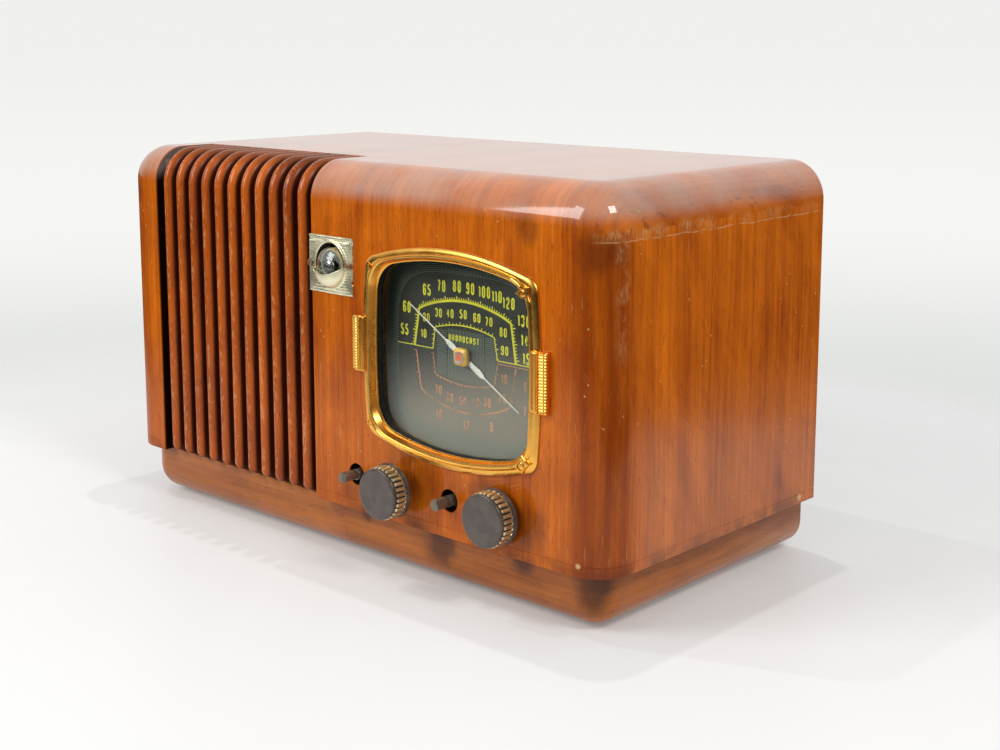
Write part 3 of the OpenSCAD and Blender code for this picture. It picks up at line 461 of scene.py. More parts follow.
def veneer(n):
    at, u, v, on_top, behind = wrap_coordinates(n)
    wood = grain(n, u, v, WOOD_DARK, WOOD_LIGHT)
    x, _, z = n.split(at)
    colour = wood["Colour"]
    # dull dark marks: stains and painted knob shade by the controls, a patch under the corner's bend, and
    # darker towards the bottom along the foot
    dark = near(n, at, (189, 8, 196), 13) * 0.6
    for centre, radius in [((66, 0, 78), 14), ((74, 0, 62), 13), ((118, 0, 62), 13), ((150, 0, 52), 16),
                           ((16, 0, 42), 9), ((150, 0, 205), 9), ((-186, 3, 200), 9)]:
        dark = n.most(dark, near(n, at, centre, radius) * 0.45)
    foot = n.span(z, 0.043, 0.034) * n.span(n.noise(at, 60.0, 3), 0.4, 0.6)
    dark = n.most(dark, foot * 0.5)
    colour = n.mix(dark, colour, STAIN_AND_SHADE)
    # darker down the front corner's bend, stain and painted shade, and darker towards the left end
    bend = n.span(x - behind, 0.174, 0.187) * n.span(z, 0.212, 0.196)
    bend = bend * n.span(n.noise(n.stretch(at, 90, 90, 12), 1.0, 3), 0.25, 0.6, 0.35, 0.72)
    colour = n.mix(bend, colour, (0.14, 0.016, 0.0004))
    colour = n.mix(n.span(x, -0.165, -0.182, 0.0, 0.25), colour, (0.16, 0.02, 0.0006))
    # the unlit ply inside the control holes and the grille opening
    bore = 0.0
    for axis_x in (tone_x, volume_x, band_x, tuning_x):
        off_axis = n.distance(n.stretch(at, 1, 0, 1), (axis_x * MM, 0, control_z * MM))
        bore = n.most(bore, off_axis < bore_r * MM)
    below = under_skin(n, behind, z)
    in_grille = (x > opening_x0 * MM) * (x < opening_x1 * MM) * (behind < (grille_depth + 1) * MM)
    unlit = n.most(bore, in_grille) * n.span(below, 0.0003, 0.0014)
    colour = n.mix(unlit, colour, (0.012, 0.004, 0.002))
    # bare ply inside
    bare = (behind > (wall - 0.8) * MM) * (abs(x) < lining_x * MM) * (z < (body_h - wall + 0.8) * MM)
    colour = n.mix(bare, colour, n.mix(wood["Tone"], (0.2, 0.105, 0.045), (0.36, 0.21, 0.1)))
    unlit = n.most(unlit, bare)
    scratch = scratches(n, at)
    # rubbed band where the top's veneer ends on the side, and a rubbed stripe down the front corner
    on_side = n.span(x, 0.186, 0.196)
    ragged = (n.noise(n.join(0.0, behind * 60, 1.0), 1.0, 3) - 0.5) * 0.003
    height_off = z - (ragged + seam_z * MM)
    seam = n.span(abs(height_off + 0.0035), 0.0005, 0.0001) * n.span(n.noise(at, 220.0, 2), 0.4, 0.55)
    hatch = n.noise(n.stretch(at, 1500, 900, 260), 1.0, 2)
    patches = n.span(n.noise(at, 90.0, 4, 0.6), 0.38, 0.62)
    rubbed = n.span(abs(height_off), 0.0055, 0.001) * n.span(behind, 0.19, 0.04, 0.45, 1.0)
    stripe = n.span(abs(behind - 0.0145), 0.0055, 0.0005) * n.span(z, 0.11, 0.2) * n.span(z, 0.213, 0.207)
    rubbed = n.most(rubbed, stripe) * patches * n.span(hatch, 0.42, 0.62, 0.25, 1.0)
    band = n.most(seam * 0.5, rubbed * 0.42) * on_side
    worn = n.most(scratch * 0.75, band)
    for centre, radius in [((200, 180, 37), 2.0), ((183, 1, 39), 1.6)]:
        worn = n.most(worn, near(n, at, centre, radius, 0.2))
    colour = n.mix(worn, colour, CHIP)
    # painted reflections: pale over the top and its bend, and a pale haze of the floor low on the side
    painted_top_sheen = on_top * n.span(z, 0.208, 0.2178) * n.span(n.noise(at, 30.0, 4), 0.3, 0.7, 0.25, 0.5)
    painted_floor_sheen = on_side * n.span(behind, 0.016, 0.04) * n.span(z, 0.135, 0.06, 0.0, 0.13)
    colour = n.mix(n.most(painted_top_sheen, painted_floor_sheen), colour, (0.42, 0.36, 0.31))
    height = wood["Height"] * 0.4 - worn
    return {
        "Base Color": colour,
        "Roughness": n.cloudy(at, 14.0, 0.4, 0.55),
        "Coat Weight": n.span(on_top, 0, 1, 0.42, 0.95) * n.span(unlit, 0, 1, 1, 0.05),
        "Normal": n.bump(height, 0.14, 0.0003),
    }


def bar_wood(n):
    at = n.place()
    x, y, z = n.split(at)
    behind = y - front_y
    wood = grain(n, x, z + behind, (0.17, 0.02, 0.0008), (0.56, 0.115, 0.004))
    scratch = scratches(n, at)
    below = under_skin(n, behind, z)
    rub = n.span(below, 0.0007, 0.0) * n.span(n.noise(n.stretch(at, 1, 1, 0.3), 900.0, 2), 0.52, 0.66)
    colour = n.mix(n.most(scratch, rub) * 0.4, wood["Colour"], CHIP)
    faded = n.span(z, (body_h - 8) * MM, body_h * MM)
    colour = n.mix(faded * 0.6, colour, (0.1, 0.045, 0.025))
    # painted shade: the bars darken the deeper they lie below the cabinet's skin, down their flanks into the
    # slots
    colour = n.mix(n.span(below, 0.0012, 0.0032) * 0.93, colour, (0.03, 0.004, 0.0015))
    return {
        "Base Color": colour,
        "Roughness": n.cloudy(at, 40.0, 0.35, 0.5),
        "Coat Weight": n.span(below, 0.003, 0.0005, 0.1, 0.45),
        "Normal": n.bump(wood["Height"], 0.35, 0.0004),
    }


def plinth_wood(n):
    at, u, *_ = wrap_coordinates(n)
    wood = grain(n, n.split(at)[2], u, (0.2, 0.045, 0.004), (0.5, 0.15, 0.02))
    colour = wood["Colour"]
    dark = near(n, at, (80, 8, 24), 13)
    for centre, radius in [((186, 10, 24), 13), ((20, 8, 29), 7), ((140, 8, 30), 9)]:
        dark = n.most(dark, near(n, at, centre, radius))
    colour = n.mix(dark * 0.75, colour, STAIN_AND_SHADE)
    scratch = scratches(n, at, 0.7)
    colour = n.mix(scratch * 0.4, colour, CHIP)
    return {
        "Base Color": colour,
        "Roughness": n.cloudy(at, 20.0, 0.28, 0.45),
        "Normal": n.bump(wood["Height"], 0.3, 0.0004),
    }


def gilt(n):
    at = n.place()
    age = aged(n, at, 30.0, 0.12, (0.96, 0.5, 0.095), (0.55, 0.26, 0.03))
    return {
        "Base Color": age["Colour"],
        "Roughness": n.cloudy(at, 90.0, 0.24, 0.33),
        "Normal": n.bump(n.noise(at, 36.0, 2), 0.05, 0.0003),
    }


finishes = {
    "cabinet_veneer": material("cabinet veneer", veneer, Coat_Roughness=0.07, Specular_IOR_Level=0.05),
    "grille_wood": material("grille bar wood", bar_wood, Coat_Roughness=0.22, Specular_IOR_Level=0.1),
    "plinth_wood": material("plinth wood", plinth_wood, Coat_Weight=0.5, Coat_Roughness=0.2,
                            Specular_IOR_Level=0.1),
    "gilt_brass": material("gilt brass", gilt, Metallic=1.0),
}


def plain(name, colour, rough, metal=0.0, scale=80.0, spread=0.18, **more):
    """A finish with cloudy changes of tone and roughness and a fine grain."""
    def build(n):
        at = n.place()
        tone = n.noise(at, scale, 4, 0.6) * 0.6 + n.noise(at, scale * 9, 3) * 0.4
        dark = tuple(c * (1 - spread) for c in colour)
        return {
            "Base Color": n.mix(n.span(tone, 0.4, 0.6), dark, colour),
            "Roughness": n.cloudy(at, scale * 1.7, rough * 0.85, min(1.0, rough * 1.15)),
            "Normal": n.bump(n.noise(at, scale * 12, 2), 0.15, 0.0002),
        }
    return material(name, build, Metallic=metal, **more)


def board(name, dark, light):
    """Raw board with its grain from side to side."""
    def build(n):
        x, y, z = n.split(n.place())
        wood = grain(n, y + z, x, dark, light)
        return {"Base Color": wood["Colour"], "Roughness": n.span(wood["Tone"], 0, 1, 0.85, 0.7),
                "Normal": n.bump(wood["Height"], 0.4, 0.0004)}
    return material(name, build, Specular_IOR_Level=0.2)


# colour, roughness and, for metals, how metallic
plain_finishes = {
    "felt": ((0.03, 0.02, 0.018), 0.95), "sheet_steel": ((0.45, 0.46, 0.47), 0.4, 1.0),
    "lamp_brass": ((0.65, 0.5, 0.25), 0.35, 1.0), "pointer_paint": ((0.85, 0.83, 0.75), 0.4),
    "plated_steel": ((0.6, 0.6, 0.6), 0.3, 1.0), "drive_cord": ((0.06, 0.05, 0.04), 0.9),
    "basket_paint": ((0.07, 0.075, 0.08), 0.5), "cone_paper": ((0.1, 0.085, 0.07), 0.9),
    "pot_paint": ((0.05, 0.05, 0.055), 0.4), "core_iron": ((0.1, 0.09, 0.08), 0.6, 0.4),
    "screw_steel": ((0.5, 0.5, 0.5), 0.35, 1.0), "chassis_steel": ((0.5, 0.5, 0.46), 0.42, 1.0),
    "phenolic": ((0.14, 0.05, 0.02), 0.4), "black_rubber": ((0.015, 0.014, 0.013), 0.7),
    "plate_aluminium": ((0.75, 0.76, 0.77), 0.35, 1.0), "control_case": ((0.4, 0.41, 0.42), 0.4, 1.0),
    "nut_brass": ((0.62, 0.45, 0.2), 0.35, 1.0), "transformer_paint": ((0.045, 0.045, 0.048), 0.45),
    "can_aluminium": ((0.7, 0.71, 0.72), 0.4, 1.0),
}
for slot_name, look in plain_finishes.items():
    finishes[slot_name] = plain(slot_name.replace("_", " "), *look)


def dial_face_paint(n):
    """Dark green-grey paint with fields of fine pale lines and cloudy haze, and a painted reflection of the
    window glass over its lower part.
    """
    at = n.place()
    x, _, z = n.split(at)
    dx, dz = x - (dial_x + print_x) * MM, z - (dial_z + print_z) * MM
    ax, az = abs(dx), abs(dz)

    pitch = 1.03 * MM

    def lines(value):
        return n.span(n.math("PINGPONG", value, pitch / 2), 0.2 * pitch, 0.34 * pitch)

    def inside(value, low, high):
        return (value > low * MM) * (value < high * MM)
    rows, columns = lines(dz), lines(dx)
    centre = inside(ax, -1, 13.4) * inside(az, -1, 13.5)
    blocks = inside(ax, 14.2, 21.5) * inside(az, -1, 12.2)
    field_a, field_b = 0.0515, 0.0435  # half the size of the middle field, in metres
    bulge = (ax / field_a) ** 4.0 + (az / field_b) ** 4.0
    border = bulge > 1.0
    curved = border * (az > 30 * MM)
    rows = n.choose(curved, rows, lines(bulge ** 0.25 * field_b))
    upright = border * (ax < 17 * MM)
    row_field = n.most(blocks, border - upright)
    column_field = n.most(centre, upright)
    mark = n.most(row_field * rows, column_field * columns)
    haze = n.span(n.noise(at, 45.0, 4), 0.35, 0.7)
    painted_glass_reflection = n.span(dz + dx * -0.25, 0.01, -0.034)
    base = n.mix(haze, (0.016, 0.018, 0.013), (0.03, 0.032, 0.024))
    base = n.mix(n.most(row_field, column_field) * 0.7, base, (0.004, 0.007, 0.006))
    # painted reflection of the window glass, strongest at the lower right
    base = n.mix(painted_glass_reflection * 0.7, base, (0.27, 0.23, 0.16))
    return {
        "Base Color": n.mix(mark * 0.9, base, (0.14, 0.18, 0.14)),
        "Roughness": n.span(haze, 0, 1, 0.42, 0.6),
    }


def print_paint(colour, worn, amount):
    """Ink that has faded and flaked off in patches."""
    def build(n):
        at = n.place()
        fade = n.span(n.noise(at, 60.0, 4, 0.6), 0.46, 0.66)
        fine = n.span(n.noise(at, 700.0, 2), 0.6, 0.75)
        return {
            "Base Color": n.mix(n.most(fade * amount, fine * amount * 0.4), colour, worn),
            "Roughness": n.span(fade, 0, 1, 0.45, 0.65),
        }
    return build


def eye_metal(n):
    """Pale brass, brushed along its ribs, with cloudy tarnish."""
    at = n.place()
    x, _, z = n.split(at)
    age = aged(n, at, 110.0, 0.35, (0.92, 0.88, 0.62), (0.5, 0.45, 0.27))
    brushed = n.noise(n.join(x * 160, 0.0, z * 2600), 1.0, 2)
    return {
        "Base Color": age["Colour"],
        "Roughness": n.cloudy(at, 120.0, 0.3, 0.46),
        "Normal": n.bump(brushed, 0.12, 0.0002),
    }


def rust(n):
    at = n.place()
    age = aged(n, at, 300.0, 1.0, (0.28, 0.15, 0.08), (0.08, 0.03, 0.015))
    return {"Base Color": age["Colour"], "Roughness": n.span(age["Mask"], 0, 1, 0.45, 0.8),
            "Normal": n.bump(n.noise(at, 900.0, 4), 0.5, 0.0003)}


def knob_moulding(n):
    """Dark moulded plastic, faintly turned, with handling marks."""
    at = n.place()
    use = n.span(n.noise(at, 130.0, 4), 0.4, 0.65)
    return {
        "Base Color": n.mix(use, (0.056, 0.04, 0.033), (0.085, 0.063, 0.052)),
        "Roughness": n.span(use, 0, 1, 0.3, 0.42),
        "Normal": n.bump(n.noise(at, 1400.0, 2), 0.12, 0.0002),
    }


def band_metal(n):
    """Dull brass teeth with dirt packed between them."""
    at = n.place()
    x, _, z = n.split(at)
    dz = z - control_z * MM

    def off(axis_x):
        dx = x - axis_x * MM
        return n.root(dx * dx + dz * dz)
    radius = n.least(off(volume_x), off(tuning_x))
    dirt = n.span(radius, 0.0142, 0.0136)
    age = aged(n, at, 260.0, 0.7, (0.7, 0.58, 0.36), (0.36, 0.27, 0.14))
    return {
        "Base Color": n.mix(dirt, age["Colour"], (0.02, 0.015, 0.01)),
        "Metallic": n.span(dirt, 0, 1, 0.9, 0.0),
        "Roughness": n.span(dirt, 0, 1, 0.38, 0.8),
    }


def shaft_metal(n):
    at = n.place()
    age = aged(n, at, 180.0, 0.8, (0.2, 0.17, 0.13), (0.06, 0.05, 0.04))
    return {"Base Color": age["Colour"], "Roughness": n.span(age["Mask"], 0, 1, 0.3, 0.5)}


def hub_plastic(n):
    """Amber button with a red-orange heart."""
    at = n.place()
    ragged = n.distance(at, place(dial_x, 9.0, dial_z)) + n.noise(at, 500.0, 2) * 0.001
    return {"Base Color": n.mix(n.span(ragged, 0.0034, 0.0044), (0.85, 0.14, 0.015), (0.85, 0.5, 0.06)),
            "Roughness": n.cloudy(at, 400.0, 0.25, 0.4, 2)}


def target_coat(n):
    """The eye's cup: tan at its lip and dull grey-green within."""
    at = n.place()
    d = n.distance(n.stretch(at, 1, 0, 1), ((eye_x - 2.9) * MM, 0, (eye_z - 0.8) * MM))
    ring = n.span(d, 0.0084, 0.0094)
    return {"Base Color": n.mix(ring, n.mix(n.noise(at, 300.0, 3), (0.14, 0.15, 0.13), (0.24, 0.24, 0.2)),
                                (0.5, 0.34, 0.14)),
            "Roughness": n.span(n.noise(at, 300.0, 3), 0, 1, 0.4, 0.6)}


def woven_cloth(n):
    """Dark brown basket weave with a paler thread here and there."""
    x, y, z = n.split(n.place())
    run = y + z
    warp = n.math("PINGPONG", x * 1100, 1.0)
    weft = n.math("PINGPONG", run * 1100, 1.0)
    weave = n.span(warp, 0.1, 0.9) * n.span(weft, 0.1, 0.9)
    thread = n.span(n.noise(n.join(x * 550, run * 4), 1.0, 1), 0.58, 0.62)
    colour = n.mix(weave, (0.008, 0.004, 0.002), (0.05, 0.026, 0.014))
    return {"Base Color": n.mix(thread * weave, colour, (0.12, 0.08, 0.04)),
            "Roughness": n.span(weave, 0, 1, 0.95, 0.8), "Normal": n.bump(weave, 0.6, 0.0004)}


finishes.update({
    "board_wood": board("board wood", (0.2, 0.11, 0.05), (0.42, 0.27, 0.14)),
    "baffle_wood": board("baffle wood", (0.1, 0.055, 0.025), (0.22, 0.13, 0.07)),
    "grille_cloth": material("grille cloth weave", woven_cloth),
    "dial_paint": material("dial face paint", dial_face_paint),
    "scale_yellow": material("upper scale ink", print_paint((0.82, 0.78, 0.04), (0.4, 0.4, 0.05), 0.3)),
    "scale_orange": material("lower scale ink", print_paint((0.62, 0.26, 0.1), (0.09, 0.08, 0.05), 0.8)),
    "black_card": plain("black card", (0.006, 0.006, 0.006), 0.9),
    "eye_brass": material("eye plate brass", eye_metal, Metallic=1.0),
    "rusty_steel": material("rusty steel", rust, Metallic=0.4),
    "knob_plastic": material("knob plastic", knob_moulding, Coat_Weight=0.25, Coat_Roughness=0.2),
    "knob_band": material("knob band metal", band_metal),
    "shaft_brass": material("dull shaft metal", shaft_metal, Metallic=0.6),
    "amber_hub": material("amber hub plastic", hub_plastic, Coat_Weight=0.3, Coat_Roughness=0.1),
    "eye_target": material("eye target coat", target_coat),
    "eye_cap": plain("eye cap metal", (0.32, 0.33, 0.33), 0.3, 1.0, 300.0),
})


def clear_glass(name, tint, rough=0.02):
    """Glass that lets the light through to what lies behind it."""
    def build(n):
        return {"Roughness": n.span(n.noise(n.place(), 30.0, 3), 0.35, 0.7, rough * 0.3, rough)}
    made = material(name, build, Transmission_Weight=1.0, IOR=1.45, Base_Color=tint)
    n = Nodes(made.node_tree)
    shader = made.node_tree.nodes["Principled BSDF"]
    through = n.add("ShaderNodeBsdfTransparent", {"Color": tint})
    shadow = n.values(n.add("ShaderNodeLightPath"))["Is Shadow Ray"]
    mixed = n.add("ShaderNodeMixShader", {0: shadow, 1: n.first(shader), 2: n.first(through)})
    n.feed(made.node_tree.nodes["Material Output"].inputs[0], n.first(mixed))
    return made


finishes.update({
    "window_glass": clear_glass("dial window glass", (0.93, 0.95, 0.93)),
    "eye_glass": clear_glass("eye tube glass", (0.9, 0.92, 0.9)),
    "tube_glass": clear_glass("valve glass", (0.88, 0.9, 0.88)),
    "lamp_glass": clear_glass("lamp glass", (0.95, 0.93, 0.88)),
    "valve_plate": plain("valve plate metal", (0.12, 0.12, 0.125), 0.55, 0.7, 200.0),
    "mica": plain("mica", (0.5, 0.46, 0.38), 0.4, 0.0, 300.0),
    "getter": plain("getter mirror", (0.35, 0.33, 0.32), 0.18, 1.0, 120.0),
})

# Every CAD node starts with the finish of its slot
slot_of = {part["node"]: part["material_slot"] for part in frame["record"]["subparts"]}
for node, slot in slot_of.items():
    mesh = frame["nodes"][node].data
    mesh.materials.clear()
    mesh.materials.append(finishes[slot])


# Cabinet
def cabinet_wrap():
    """The bent shell: a rounded lower edge under a fine groove, and softened edges at its openings."""
    bm = clean_copy("cabinet_shell")
    groove_z, groove_cut = body_z0 + 5.9, 0.25 * MM
    for z in (groove_z - 0.5, groove_z - 0.2, groove_z + 0.2, groove_z + 0.5):
        bmesh.ops.bisect_plane(bm, geom=bm.verts[:] + bm.edges[:] + bm.faces[:], plane_co=(0, 0, z * MM),
                               plane_no=(0, 0, 1), dist=1e-7)
    outer_x = body_w / 2 * MM
    corner = edge_r * MM
    for vert in bm.verts:
        if abs(vert.co.z / MM - groove_z) > 0.3:
            continue
        x, back = vert.co.x, vert.co.y - front_y
        cx = math.copysign(outer_x - corner, x)
        if back < corner and abs(x) > abs(cx):
            out = Vector((x - cx, back - corner, 0))
            if out.length > corner - 1e-5:
                vert.co -= out.normalized() * groove_cut
        elif back < 1e-5:
            vert.co.y += groove_cut
        elif abs(x) > outer_x - 1e-5:
            vert.co.x -= math.copysign(groove_cut, x)
    weight = bm.edges.layers.float.new("bevel_weight_edge")
    for edge in bm.edges:
        if len(edge.link_faces) != 2 or edge.calc_face_angle(0) < math.radians(40):
            continue
        mid = (edge.verts[0].co + edge.verts[1].co) / 2
        low = all(abs(v.co.z / MM - body_z0) < 0.05 for v in edge.verts)
        back = mid.y - front_y
        radial = Vector((abs(mid.x) - (outer_x - corner), back - corner)).length
        outside = back < 0.3 * MM or abs(mid.x) > outer_x - 0.3 * MM or (
            back < corner and abs(mid.x) > outer_x - corner and radial > corner - 0.6 * MM)
        edge[weight] = 1.0 if low and outside else 0.14
    obj = finish_piece("cabinet_wrap", mesh_from("cabinet_wrap", bm), "cabinet_veneer", ["cabinet_shell"])
    round_edges(obj, 5.0, 6, weighted=True)
    # the large flat faces set the shading, so that they look flat beside their rounded edges
    even = obj.modifiers.new("even normals", "WEIGHTED_NORMAL")
    even.weight = 100
    even.keep_sharp = True


def grille_slat(i):
    """A half-round bar that runs up the front, bends over the edge and ends on the top."""
    (x0, x1), _, _ = bar_spans[i]
    mid, half = (x0 + x1) / 2, (x1 - x0) / 2
    section = [(-half, wall), (-half, 5.4)]
    for k in range(17):
        a = math.pi * k / 16
        section.append((-half * 0.9 * math.cos(a), (half - half * math.sin(a)) * 1.04))
    section += [(half, 5.4), (half, wall)]
    axis_z = body_h - edge_r
    stations = []
    tuck = 4.5
    for k in range(7):
        a = math.radians(15 * k)
        stations.append((tuck * (1 - math.sin(a)), 0.0, bar_foot_z + tuck * (1 - math.cos(a)), (-1, 0)))
    for k in range(1, 25):
        stations.append((0.0, 0.0, bar_foot_z + tuck + (axis_z - bar_foot_z - tuck) * k / 24, (-1, 0)))
    for k in range(1, 17):
        a = math.pi / 2 * k / 16
        stations.append((0.0, edge_r - edge_r * math.cos(a), axis_z + edge_r * math.sin(a),
                         (-math.cos(a), math.sin(a))))
    for k in range(1, 6):
        stations.append((0.0, edge_r + (grille_depth - edge_r) * k / 5, body_h, (0, 1)))
    rnd = random.Random(40 + i)
    lean = rnd.uniform(-0.12, 0.12)
    rings = []
    for s, (inset, depth, z, out) in enumerate(stations):
        sway = lean * math.sin(s * 0.35 + i)
        ring = []
        for t, d in section:
            d = inset + d * (wall - inset) / wall
            narrow = 1 - 0.12 * inset / tuck
            ring.append((mid + t * narrow + sway, depth - out[0] * d, z - out[1] * d))
        rings.append(ring)
    obj = add_piece(f"grille_slat_{i + 1}", capped(loft(rings), len(section)), "grille_wood",
                    [f"grille_bar_{i + 1}"])
    round_edges(obj, 0.3, 2, 50)


cabinet_wrap()
softened("plinth_frame", "plinth", 0.8, 3)
for bar in range(bar_count):
    grille_slat(bar)


def grille_fabric():
    """The dark cloth: one stretched sheet up the baffle's front, over its bend and onto its top."""
    (x0, x1), (y0, y1), (z0, z1) = across("grille_cloth")
    y0, z1 = y0 + 0.55, z1 - 0.4
    r = 12.6
    path = [(y0, z0 + (z1 - r - z0) * k / 84) for k in range(85)]
    path += [(y0 + r - r * math.cos(math.radians(a)), z1 - r + r * math.sin(math.radians(a)))
             for a in range(10, 91, 10)]
    path += [(y0 + r + (y1 - y0 - r) * k / 12, z1) for k in range(1, 13)]
    columns = 78
    rows = [[(x0 + (x1 - x0) * i / columns, y, z) for i in range(columns + 1)] for y, z in path]
    obj = add_piece("grille_fabric", loft(rows, closed_ring=False), "grille_cloth", ["grille_cloth"])


grille_fabric()


# Dial
def arc(centre, r, start, end, steps):
    return [(centre[0] + r * math.cos(start + (end - start) * k / steps),
             centre[1] + r * math.sin(start + (end - start) * k / steps)) for k in range(steps + 1)]


def cushion(a, b, corner_r, bow_top=190.0, bow_side=460.0):
    """Outline of the dial's rim: bowed long edges and sides with rounded corners, about its own middle."""
    top, side = (0.0, b - bow_top), (a - bow_side, 0.0)
    span = math.hypot(side[0] - top[0], side[1] - top[1])
    reach_top, reach_side = bow_top - corner_r, bow_side - corner_r
    along = (reach_top ** 2 - reach_side ** 2 + span ** 2) / (2 * span)
    off = math.sqrt(reach_top ** 2 - along ** 2)
    ux, uz = (side[0] - top[0]) / span, (side[1] - top[1]) / span
    corner = (top[0] + along * ux + off * uz, top[1] + along * uz - off * ux)
    turn_top = math.atan2(corner[1] - top[1], corner[0] - top[0])
    turn_side = math.atan2(corner[1] - side[1], corner[0] - side[0])
    quarter = arc(top, bow_top, math.pi / 2, turn_top, 10)
    quarter += arc(corner, corner_r, turn_top, turn_side, 12)[1:-1]
    quarter += arc(side, bow_side, turn_side, 0, 8)
    n = len(quarter) - 1
    return (quarter + [(quarter[k][0], -quarter[k][1]) for k in range(n - 1, -1, -1)]
            + [(-quarter[k][0], -quarter[k][1]) for k in range(1, n + 1)]
            + [(-quarter[k][0], quarter[k][1]) for k in range(n - 1, 0, -1)])


rim_a, rim_b, window_a, window_b = 65.2, 59.4, 56.6, 51.6


def rim_ring(inward, depth):
    share = inward / (rim_a - window_a)
    outline = cushion(rim_a - inward, rim_b - share * (rim_b - window_b), 9 + 8.5 * min(1.0, inward / 4.4))
    return [(dial_x + x, depth, dial_z + z) for x, z in outline]


def boss_outline(points, share):
    """A closed outline through four points with slightly hollow sides, drawn in to its middle by share."""
    steps, out = 12, []
    for k, (ax, az) in enumerate(points):
        bx, bz = points[(k + 1) % len(points)]
        for i in range(steps):
            t = i / steps
            hollow = 1 - 0.17 * math.sin(math.pi * t)
            out.append(((ax + (bx - ax) * t) * hollow * share, (az + (bz - az) * t) * hollow * share))
    return out


def corner_boss(sx, sz):
    """The pointed seat of a right-hand screw, or the small round one of a left-hand screw."""
    cx, cz = boss_at(sx, sz)
    if sx < 0:
        points, top = [(1.3 * math.cos(a), 1.3 * math.sin(a)) for a in (0, 1.57, 3.14, 4.71)], -3.0
        points = [(x * 1.75, z * 1.75) for x, z in points]
    elif sz < 0:
        points, top = [(6.0, 1.8), (0.6, 5.7), (-5.9, -0.9), (0.8, -3.8)], -3.9
    else:
        points, top = [(5.0, -3.8), (3.6, 3.4), (-1.0, 4.6), (-5.4, -0.6)], -3.9
    rings = []
    for share, depth, round_r in ((1.06, -1.0, 0), (1.03, top + 0.9, 0), (0.98, top + 0.35, 0),
                                  (0.9, top + 0.05, 0), (0.8, top, 0), (0, top, 2.75), (0, top + 0.25, 2.5),
                                  (0, top + 0.85, 2.4), (0, top + 0.85, 0.0)):
        outline = boss_outline(points, share or 1)
        if not share:
            round_r *= 0.72 if sx < 0 else 1
            outline = [(round_r * x / math.hypot(x, z), round_r * z / math.hypot(x, z)) for x, z in outline]
        rings.append([(cx + x, depth, cz + z) for x, z in outline])
    return loft(rings)


def boss_at(sx, sz):
    if sx < 0:
        return (dial_x - 58.3, dial_z + 44.4) if sz > 0 else (dial_x - 59.2, dial_z - 43.4)
    return (dial_x + 55.4, dial_z + 42.5) if sz > 0 else (dial_x + 54.6, dial_z - 46.3)


def rim_ear(side):
    """A grip block at the rim's side: a smooth inner panel and a ribbed outer column."""
    half, ribs, per_rib = 16.0, 20, 8
    ear_section = [(61.2, 0.0), (61.2, -4.6), (61.5, -5.6), (62.1, -5.9), (62.7, -5.6), (62.9, -5.1),
                   (64.8, -5.1), (65.0, -5.6), (65.5, -5.9), (66.0, -5.6), (66.2, -4.6)]
    count = ribs * per_rib
    rings = []
    for s in range(count + 1):
        t = s / count
        z = dial_z + (-1.6 if side > 0 else 0.4) + half * (2 * t - 1)
        end = min(t, 1 - t) * 2 * half
        rise = math.sqrt(max(0.0, 1 - (1 - min(1.0, end / 1.6)) ** 2)) * 0.35 + 0.43
        rib = 0.42 * (0.5 - 0.5 * math.cos(2 * math.pi * ribs * t))
        ring = [(x, y * rise) for x, y in ear_section]
        for k in range(13):
            a = math.radians(180 - 15 * k)
            r = 3.0 + (rib if end > 1.0 else 0.0)
            ring.append((69.3 + r * math.cos(a), (-2.5 - (r + 0.2) * min(1.0, 1.25 * math.sin(a))) * rise))
        ring.append((72.3, 0.0))
        rings.append([(dial_x + side * (x - 0.11 * (x - 61)), y, z) for x, y in ring])
    return capped(loft(rings), len(rings[0]))


def dial_rim():
    section = [(0, 0.0), (0, -0.4), (0.08, -0.8), (0.34, -1.2), (0.84, -1.62), (1.53, -1.96), (2.49, -2.21),
               (3.5, -2.3), (3.8, -2.05), (4.05, -2.3), (4.35, -2.8), (4.8, -3.12), (5.3, -3.15),
               (5.75, -2.9), (6.05, -2.35), (6.7, -0.4), (7.2, 0.95), (7.35, 1.05), (7.5, 0.75), (7.85, 0.55),
               (8.25, 0.65), (8.55, 1.0), (8.6, 1.5), (8.3, 2.1), (7.6, 2.5), (6.9, 2.6), (6.9, 0.0)]
    rings = [rim_ring(inward, depth) for inward, depth in section]
    parts = [loft(rings, closed_loft=True)]
    parts += [corner_boss(sx, sz) for sx in (-1, 1) for sz in (-1, 1)]
    parts += [rim_ear(side) for side in (-1, 1)]
    add_piece("dial_rim", join_parts(parts), "gilt_brass", ["dial_escutcheon"], crisp=33)
    # a black card sleeve behind the rim; its black is partly painted shade at the window's edge
    shield = [rim_ring(inward, depth) for inward, depth in ((7.8, 2.6), (8.6, 2.5), (8.6, 6.3), (7.6, 8.2),
                                                            (4.9, 12.6), (4.9, 12.9), (4.6, 12.9),
                                                            (4.6, 12.5), (7.0, 8.4), (7.0, 2.6))]
    add_piece("dial_light_shield", loft(shield, closed_loft=True), "black_card", smooth=False)


